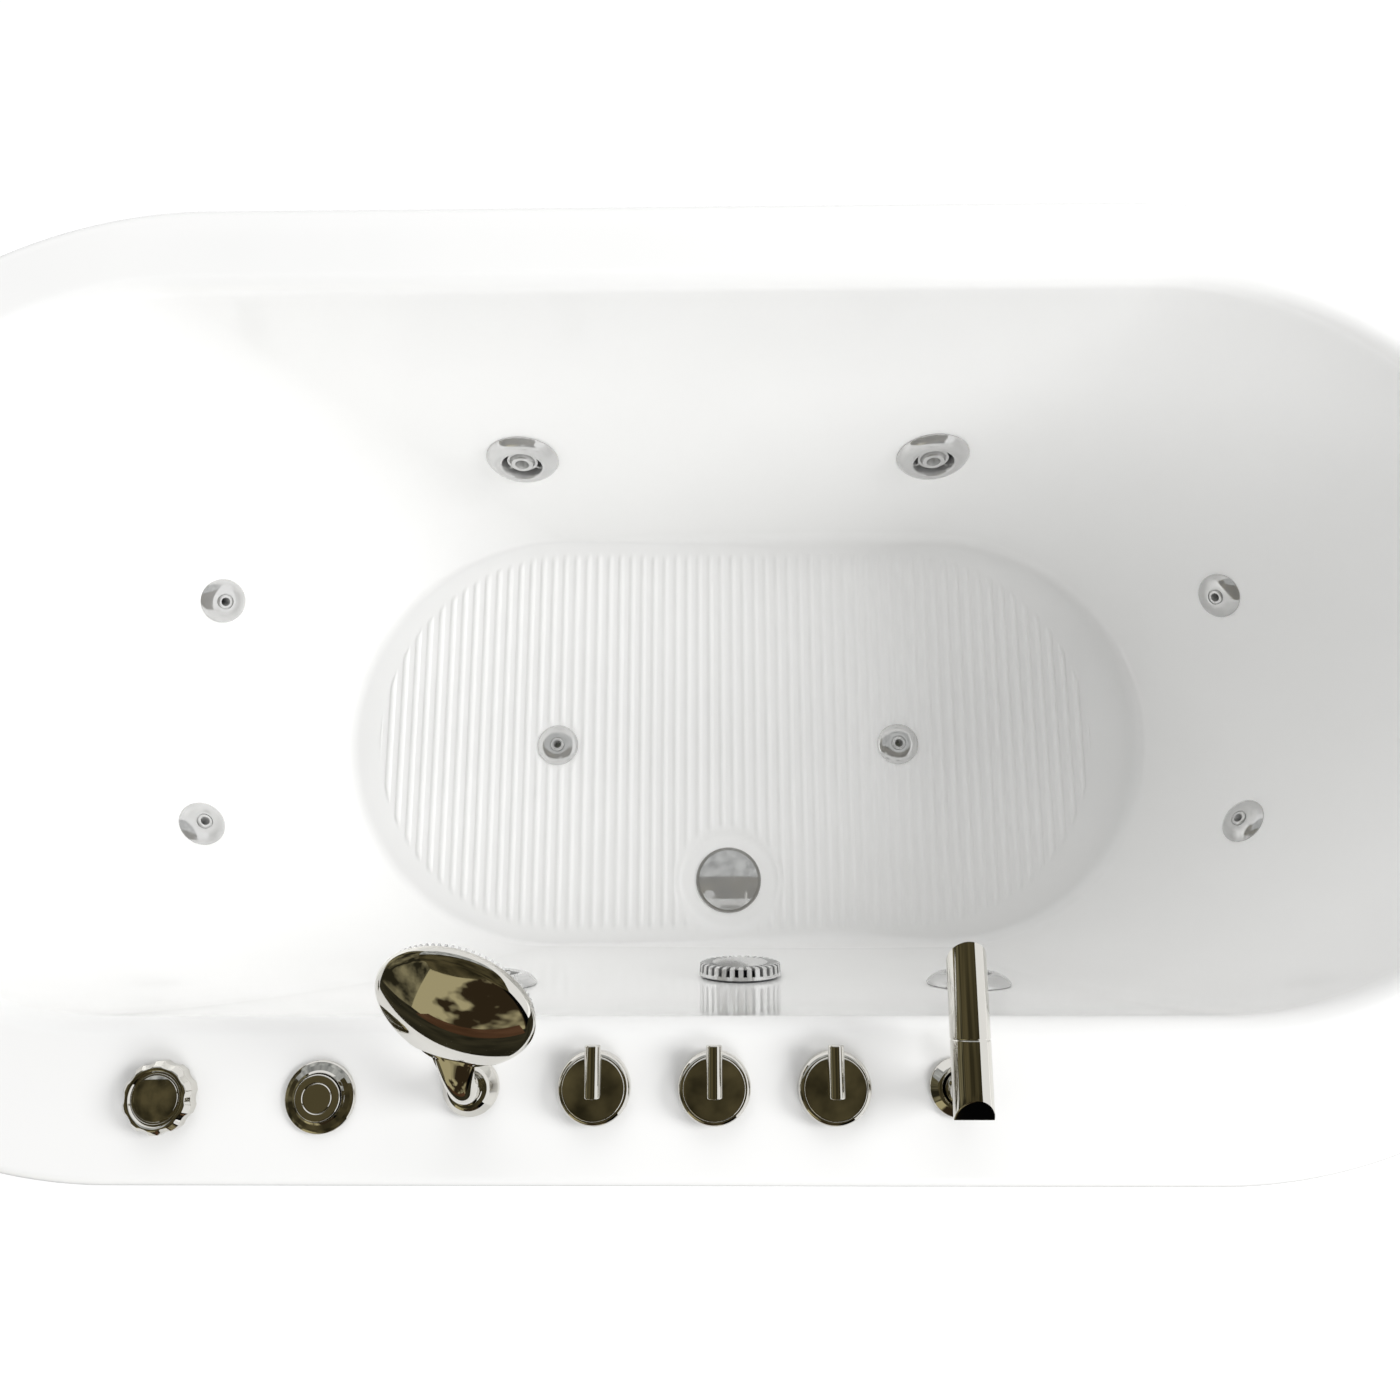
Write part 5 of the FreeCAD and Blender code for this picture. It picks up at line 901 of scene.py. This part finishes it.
def shower_casting():
    """Head and neck in one skin. Sections lie square to a spine that rises from the stem, bends, and runs on
    through the head. Their half width is a power sum of the disc's chord and of the narrow neck's width, so
    that the sides flare in a hollow curve. Their height is such a sum of the dome's and the neck's."""
    tilt = math.radians(HEAD_TILT)
    lean = np.pi / 2 - tilt
    ahead, up = np.array([math.sin(lean), math.cos(lean)]), np.array([-math.cos(lean), math.sin(lean)])
    centre = np.array([HEAD_REACH, HEAD_RISE]) + up * SPINE_LIFT
    joint = -centre[0] / ahead[0]                       # where the head's line meets the stem's axis
    corner = centre + ahead * joint
    tangent = 22.0
    bend = tangent / math.tan(lean / 2)
    arc = bend * lean
    place = np.concatenate([np.linspace(-tangent - arc - 4 + joint + tangent, joint + tangent, 40)[:-1],
                            np.linspace(joint + tangent, -HEAD_R + 2, 16)[:-1],
                            -HEAD_R * np.cos(np.linspace(0.28, np.pi, 90))])
    into = np.clip(place - (joint + tangent - arc), 0, arc)
    angle = into / bend
    straight = np.clip(place - (joint + tangent), 0, None)
    below = np.clip(place - (joint + tangent - arc), None, 0)
    spine = np.stack([bend * (1 - np.cos(angle)), corner[1] - tangent + bend * np.sin(angle) + below], axis=1)
    spine = spine + straight[:, None] * ahead
    normal = np.stack([-np.cos(angle), np.sin(angle)], axis=1)

    chord = np.sqrt(np.clip(HEAD_R ** 2 - place ** 2, 0, None))
    fade = np.clip((place + HEAD_R + 34) / 76, 0, 1)
    fade = 1 - eased(fade)
    narrow = (NECK_R + 9 * np.clip((place - joint) / 34, 0, 1.3) ** 2) * np.clip(fade, 0.001, 1) ** 0.5
    narrow = np.where(place > -10, narrow * np.clip((20 - place) / 30, 0, 1), narrow)
    power = 2.6
    wide = (chord ** power + narrow ** power) ** (1 / power)

    phi = np.linspace(0, 2 * np.pi, 128, endpoint=False)[None, :]
    part, side = np.cos(phi), np.sin(phi)
    away = np.hypot(part * chord[:, None], place[:, None])
    ball = ((HEAD_R - 4) ** 2 + (DOME - 4.4) ** 2) / (2 * (DOME - 4.4))
    crown = np.sqrt(np.clip(ball ** 2 - away ** 2, 0, None)) - ball + DOME
    edge = np.clip((HEAD_R - away) / 4.5, 0, 1)
    top = -1 + (crown + 1) * np.sqrt(1 - (1 - edge) ** 2) - RIM_UNDER
    lip = np.clip((HEAD_R - away) / 3.0, 0, 1)
    under = -1 - (RIM_UNDER + 1) * -np.sqrt(1 - (1 - lip) ** 2)
    grown = eased(np.clip((place + HEAD_R) / 10, 0, 1))[:, None]
    thick = (NECK_R - 3.2 * np.clip((place - joint) / 40, 0, 1)) * fade
    hump = SPINE_LIFT - RIM_UNDER + thick[:, None] * np.abs(side) * np.sign(side)
    hump = np.clip(hump, 0, None) * fade[:, None] ** 0.5
    over = ((top * grown) ** power + hump ** power) ** (1 / power) + RIM_UNDER - SPINE_LIFT
    below_neck = -thick[:, None] * np.abs(side)
    beneath = (under - SPINE_LIFT) * grown + below_neck * (1 - grown)
    height = np.where(side >= 0, over, beneath)
    across = part * wide[:, None]
    forward = spine[:, :1] + normal[:, :1] * height
    rise = spine[:, 1:] + normal[:, 1:] * height
    yaw = math.radians(HEAD_YAW) * np.clip((place + HEAD_R + 30) / 40, 0, 1)[:, None]
    x, y = across, forward - HEAD_REACH
    rings = np.stack([x * np.cos(yaw) + y * np.sin(yaw), HEAD_REACH + y * np.cos(yaw) - x * np.sin(yaw), rise],
                     axis=-1)
    return outward(skin(rings[:-1], start=rings[0].mean(axis=0), end=rings[-1].mean(axis=0)))


class BATH_OT_hand_shower(bpy.types.Operator):
    """Makes the hand shower's head and neck in one skin, and its holder"""
    bl_idname = "bath.hand_shower"
    bl_label = "Hand shower"

    def execute(self, context):
        x, y, _ = centre_top("shower_holder")
        holder = rounded((8.8, -30), (8.8, 14, 0.4), (13.5, 13.6, 1.5), (15.5, 12, 2), (20.5, 4.5, 4),
                         (20.5, 0.05, 0.3), (12, 0.05), (12, -30))
        chromed("hand_shower_holder", [turned(holder)], x, y, "tub", "shower_holder")
        turn = math.radians(-HANDLE_YAW)
        stem = turned(rounded((0, STEM_END), (STEM_R, STEM_END, 1), (STEM_R, STEM_TOP), (NECK_R, STEM_TOP, 0.4),
                              (NECK_R, 20), (0, 20)))
        chromed("hand_shower_casting", [stem, shower_casting()], x, y, "hand_shower", "hand_shower_shell",
                up=(-math.sin(turn), math.cos(turn), 0))
        return {"FINISHED"}


# ---- fittings in the basin and hidden pieces -----------------------------------------------------------
def dress(node, name):
    """Gives a CAD node its finish, and shades it smooth but for its edges."""
    target = frame["nodes"][node]
    target.data.materials.clear()
    target.data.materials.append(FINISH[name])
    target.modifiers.new("Smooth faces", "NODES").node_group = smoothing()


def smoothing():
    """Modifier that joins a node's loose triangles and shades it smooth, but for edges over 32 degrees."""
    name = "Smooth by edge angle"
    if name in bpy.data.node_groups:
        return bpy.data.node_groups[name]
    tree = bpy.data.node_groups.new(name, "GeometryNodeTree")
    tree.interface.new_socket("Geometry", in_out="INPUT", socket_type="NodeSocketGeometry")
    tree.interface.new_socket("Geometry", in_out="OUTPUT", socket_type="NodeSocketGeometry")
    entry, leave = add(tree, "NodeGroupInput"), add(tree, "NodeGroupOutput")
    merged = add(tree, "GeometryNodeMergeByDistance", {"Geometry": entry.outputs[0], "Distance": 0.002 * MM})
    smooth = add(tree, "GeometryNodeSetShadeSmooth", {"Geometry": merged.outputs[0], "Shade Smooth": True},
                 domain="FACE")
    angle = add(tree, "GeometryNodeInputMeshEdgeAngle").outputs["Unsigned Angle"]
    soft = add(tree, "FunctionNodeCompare", {0: angle, 1: math.radians(32)}, operation="LESS_THAN").outputs[0]
    edges = add(tree, "GeometryNodeSetShadeSmooth", {"Geometry": smooth.outputs[0], "Shade Smooth": soft},
                domain="EDGE")
    tree.links.new(edges.outputs[0], leave.inputs[0])
    return tree


class BATH_OT_basin_fittings(bpy.types.Operator):
    """Finishes the jets, the suction cover and the drain"""
    bl_idname = "bath.basin_fittings"
    bl_label = "Jets, suction and drain"

    PLATED = ("jet_face", "jet_nozzle", *END_JETS, *FLOOR_JETS, "suction_cover", "drain_flange", "drain_plug",
              "hand_shower_spray_plate")
    RECESSED = ("jet_body", "suction_body")

    def execute(self, context):
        for node in frame["nodes"]:
            if node.startswith(self.PLATED):
                dress(node, "plated")
            elif node.startswith(self.RECESSED):
                dress(node, "recess")
        return {"FINISHED"}


class BATH_OT_hidden_parts(bpy.types.Operator):
    """Finishes the frame, pump, pipes and valves under the tub"""
    bl_idname = "bath.hidden_parts"
    bl_label = "Hidden parts"

    WORN_BY = {
        "plywood": ("base_board",),
        "zinc": ("support_frame", "foot_nuts"),
        "foot": ("levelling_feet",),
        "pvc": ("end_jet_bodies", "floor_jet_bodies", "waste_trap", "fitting_nuts"),
        "pipe": ("water_main", "water_cross_pipes", "jet_branch_pipes", "suction_pipe"),
        "hose": ("air_pipes",),
        "brass": ("hot_valve", "diverter_valve", "cold_valve", "deck_nuts", "air_valve"),
        "copper": ("supply_pipes",),
        "motor": ("pump_motor",),
        "black": ("pump_wet_end", "pump_switch_box"),
        "rubber": ("pump_base",),
    }

    def execute(self, context):
        for name, nodes in self.WORN_BY.items():
            for node in nodes:
                dress(node, name)
        return {"FINISHED"}


# ---- stage -------------------------------------------------------------------------------------------
CAMERA_MM = (41.9, -232.3, 1456.5)
CAMERA_TILT, CAMERA_ROLL, CAMERA_YAW = 0.21783, -0.0041734, -0.0137147
FOCAL_PX, FRAME_PX, SENSOR_MM = 1120.0, 1400.0, 36.0
WORLD_STRENGTH, FLOOR_GLOW, FLOOR_REACH = 0.46, 0.62, 9
LAMPS_AIM = (0, 0, 0.4)
KEY_PLACE = (7 * math.cos(math.radians(32)), 0, 0.4 + 7 * math.sin(math.radians(32)))
LAMPS = (("key", KEY_PLACE, 2.8, 2.8, 300),               # place and size in metres, and watts
         ("front_fill", (2.2, -3.9, 3.2), 3, 3, 110),
         ("back_fill", (0, 4.2, 3.2), 4, 3, 60),
         ("head_fill", (-4.2, 0, 3.4), 3, 3, 14))


def camera_axes():
    """Right, up and back of the camera: tilted from straight down towards +Y, then yawed, then rolled."""
    down = Vector((0, math.sin(CAMERA_TILT), -math.cos(CAMERA_TILT)))
    up = Vector((0, math.cos(CAMERA_TILT), math.sin(CAMERA_TILT)))
    right = Vector((1, 0, 0))
    ahead = math.cos(CAMERA_YAW) * down + math.sin(CAMERA_YAW) * right
    right = math.cos(CAMERA_YAW) * right - math.sin(CAMERA_YAW) * down
    side = math.cos(CAMERA_ROLL) * right + math.sin(CAMERA_ROLL) * up
    top = math.cos(CAMERA_ROLL) * up - math.sin(CAMERA_ROLL) * right
    return side, top, -ahead


def seen_directly(tree):
    """One for rays from the camera and for those that it sees by a mirror."""
    path = add(tree, "ShaderNodeLightPath")
    return add(tree, "ShaderNodeMath", {0: path.outputs["Is Camera Ray"], 1: path.outputs["Is Glossy Ray"]},
               operation="MAXIMUM").outputs[0]


def lamp(name, place, width, height, watts):
    """A flat lamp that lights the tub but shows in no mirror."""
    data = bpy.data.lights.new(name, "AREA")
    data.shape, data.size, data.size_y, data.energy = "RECTANGLE", width, height, watts
    made = bpy.data.objects.new(name, data)
    made.location = place
    made.rotation_euler = (Vector(LAMPS_AIM) - Vector(place)).to_track_quat("-Z", "Y").to_euler()
    made.visible_glossy = False
    bpy.context.scene.collection.objects.link(made)


def sheet(name, corners, material_name):
    """A four-cornered sheet of the stage, and the empty node tree of its material."""
    mesh = bpy.data.meshes.new(name)
    mesh.from_pydata(corners, [], [(0, 1, 2, 3)])
    made = bpy.data.objects.new(name, mesh)
    bpy.context.scene.collection.objects.link(made)
    material = bpy.data.materials.new(material_name)
    material.use_nodes = True
    material.node_tree.nodes.clear()
    mesh.materials.append(material)
    return made, material.node_tree


def mirrored_only(name, corners, paint):
    """A glowing panel of the room that the camera's mirrors see and nothing else does."""
    made, tree = sheet(name, corners, name)
    where = add(tree, "ShaderNodeTexCoord").outputs["Object"]
    glow = add(tree, "ShaderNodeEmission", {"Color": paint(tree, where)})
    add(tree, "ShaderNodeOutputMaterial", {"Surface": glow.outputs[0]})
    made.visible_camera = made.visible_diffuse = made.visible_shadow = made.visible_transmission = False


def mottled(dark, light, size_mm, low=0.35, high=0.65):
    """Paint of soft patches between two colours."""
    def paint(tree, where):
        fac = add(tree, "ShaderNodeTexNoise", {"Vector": where, "Scale": 1 / (size_mm * MM), "Detail": 3})
        stops = ((low, linear(dark)), (high, linear(light)))
        return add(tree, "ShaderNodeValToRGB", {"Fac": fac.outputs["Fac"]}, stops).outputs["Color"]
    return paint


def workshop(tree, where):
    """Paint of a far wall: pale clutter at one end, brown in the middle, black towards the window."""
    along = add(tree, "ShaderNodeSeparateXYZ", {"Vector": where}).outputs["X"]
    uneven = add(tree, "ShaderNodeTexNoise", {"Vector": where, "Scale": 1 / (800 * MM), "Detail": 2})
    wall = add(tree, "ShaderNodeValToRGB", {"Fac": along},
               ((0.7, linear("#33291B")), (0.75, linear("#060606"))))
    leaning = add(tree, "ShaderNodeMath", {0: along, 1: -0.14, 2: uneven.outputs["Fac"]},
                  operation="MULTIPLY_ADD").outputs[0]
    cluttered = add(tree, "ShaderNodeMapRange", {"Value": leaning, "From Min": 0.56, "From Max": 0.68,
                                                 "To Min": 0, "To Max": 1}).outputs["Result"]
    return add(tree, "ShaderNodeMix", {"Factor": cluttered, 6: wall.outputs["Color"],
                                       7: (*linear("#B5AB84"), 1)}, data_type="RGBA").outputs[2]


ROOM_LEFT, ROOM_RIGHT, ROOM_FRONT, ROOM_BACK, ROOM_TOP, PALE_FROM = -2.6, 1.9, -3.0, 1.8, 2.6, 0.12


def level(left, right, front, back, height):
    """Corners of a level rectangle."""
    return [(left, front, height), (right, front, height), (right, back, height), (left, back, height)]


def room_for_mirrors():
    """The dim room above and in front of the tub, which the chrome shows."""
    mirrored_only("dim_ceiling", level(ROOM_LEFT, ROOM_RIGHT, ROOM_FRONT, PALE_FROM, ROOM_TOP),
                  mottled("#2B2719", "#5A5239", 900))
    mirrored_only("left_wall", [(ROOM_LEFT, ROOM_FRONT, 0), (ROOM_LEFT, ROOM_BACK, 0),
                                (ROOM_LEFT, ROOM_BACK, ROOM_TOP), (ROOM_LEFT, ROOM_FRONT, ROOM_TOP)],
                  mottled("#2A271B", "#8F8768", 900, 0.42, 0.66))
    mirrored_only("pale_ceiling", level(ROOM_LEFT, ROOM_RIGHT, PALE_FROM, ROOM_BACK, ROOM_TOP),
                  mottled("#808282", "#CDCFCE", 380))
    mirrored_only("dim_floor", level(ROOM_LEFT, ROOM_RIGHT, ROOM_FRONT, -HALF_WIDTH * MM - 0.02, 0.004),
                  mottled("#26241A", "#3D392A", 500))
    mirrored_only("brown_board", [(-1.9, -2.9, 0.3), (0.3, -2.9, 0.3), (0.1, -1.45, 0.3), (-1.2, -1.55, 0.3)],
                  mottled("#46301F", "#5E4330", 600))
    mirrored_only("far_wall", [(ROOM_LEFT, ROOM_FRONT, 0), (ROOM_RIGHT, ROOM_FRONT, 0),
                               (ROOM_RIGHT, ROOM_FRONT, ROOM_TOP), (ROOM_LEFT, ROOM_FRONT, ROOM_TOP)], workshop)


def surroundings(scene):
    """World that lights the tub softly, and is white to the camera, in mirrors and through clear pieces."""
    world = scene.world = scene.world or bpy.data.worlds.new("Studio")
    world.use_nodes = True
    tree = world.node_tree
    tree.nodes.clear()
    through = add(tree, "ShaderNodeLightPath").outputs["Is Transmission Ray"]
    seen = add(tree, "ShaderNodeMath", {0: seen_directly(tree), 1: through}, operation="MAXIMUM").outputs[0]
    light, white = (add(tree, "ShaderNodeBackground", {"Color": (1, 1, 1, 1), "Strength": strength}).outputs[0]
                    for strength in (WORLD_STRENGTH, 1.0))
    mixed = add(tree, "ShaderNodeMixShader", {0: seen, 1: light, 2: white}).outputs[0]
    add(tree, "ShaderNodeOutputWorld", {"Surface": mixed})


def studio_floor():
    """Floor that glows pale where it is seen, and only scatters light where it isn't."""
    floor, tree = sheet("studio_floor", level(-FLOOR_REACH, FLOOR_REACH, -FLOOR_REACH, FLOOR_REACH, 0),
                        "pale_studio_floor")
    matt, pale = (add(tree, "ShaderNodeBsdfDiffuse", {"Color": (grey, grey, grey, 1)}).outputs[0]
                  for grey in (0.8, 0.45))
    glow = add(tree, "ShaderNodeEmission", {"Color": (1, 1, 1, 1), "Strength": FLOOR_GLOW}).outputs[0]
    lit = add(tree, "ShaderNodeAddShader", {0: pale, 1: glow}).outputs[0]
    mixed = add(tree, "ShaderNodeMixShader", {0: seen_directly(tree), 1: matt, 2: lit}).outputs[0]
    add(tree, "ShaderNodeOutputMaterial", {"Surface": mixed})


def photo_camera(scene):
    """Camera at the place, turn and focal length that were fitted to the photograph."""
    data = bpy.data.cameras.new("camera")
    data.sensor_width = SENSOR_MM
    data.lens = FOCAL_PX / FRAME_PX * SENSOR_MM
    data.clip_start = 0.01
    camera = bpy.data.objects.new("camera", data)
    camera.matrix_world = (Matrix.Translation(Vector(CAMERA_MM) * MM)
                           @ Matrix(camera_axes()).transposed().to_4x4())
    scene.collection.objects.link(camera)
    scene.camera = camera


class BATH_OT_stage(bpy.types.Operator):
    """Makes the pale floor, the soft lamps, the room that the chrome mirrors, and the camera"""
    bl_idname = "bath.stage"
    bl_label = "Stage"

    def execute(self, context):
        context.scene.view_settings.view_transform = "Standard"
        surroundings(context.scene)
        studio_floor()
        for values in LAMPS:
            lamp(*values)
        room_for_mirrors()
        photo_camera(context.scene)
        return {"FINISHED"}


class BATH_PT_panel(bpy.types.Panel):
    """Sizes, finishes and build steps of the bathtub"""
    bl_idname = "BATH_PT_panel"
    bl_label = "Bathtub"
    bl_space_type = "VIEW_3D"
    bl_region_type = "UI"
    bl_category = "Bathtub"

    def draw(self, context):
        for group in (context.scene.bath_sizes, context.scene.bath_finishes):
            column = self.layout.column(align=True)
            for name in group.__annotations__:
                column.prop(group, name)
        for step in STEPS:
            self.layout.operator(step.bl_idname)


STEPS = (BATH_OT_finishes, BATH_OT_tub, BATH_OT_air_controls, BATH_OT_taps, BATH_OT_spout, BATH_OT_hand_shower,
         BATH_OT_basin_fittings, BATH_OT_hidden_parts, BATH_OT_stage)
CLASSES = (TubSizes, Finishes, *STEPS, BATH_PT_panel)


def register():
    """Adds the classes, and the sizes and finishes of a scene."""
    for cls in CLASSES:
        bpy.utils.register_class(cls)
    bpy.types.Scene.bath_sizes = bpy.props.PointerProperty(type=TubSizes)
    bpy.types.Scene.bath_finishes = bpy.props.PointerProperty(type=Finishes)


def unregister():
    """Takes them away again."""
    del bpy.types.Scene.bath_finishes
    del bpy.types.Scene.bath_sizes
    for cls in reversed(CLASSES):
        bpy.utils.unregister_class(cls)


def main():
    """Builds everything in order."""
    register()
    for step in STEPS:
        group, name = step.bl_idname.split(".")
        getattr(getattr(bpy.ops, group), name)()


if __name__ == "__main__":
    main()
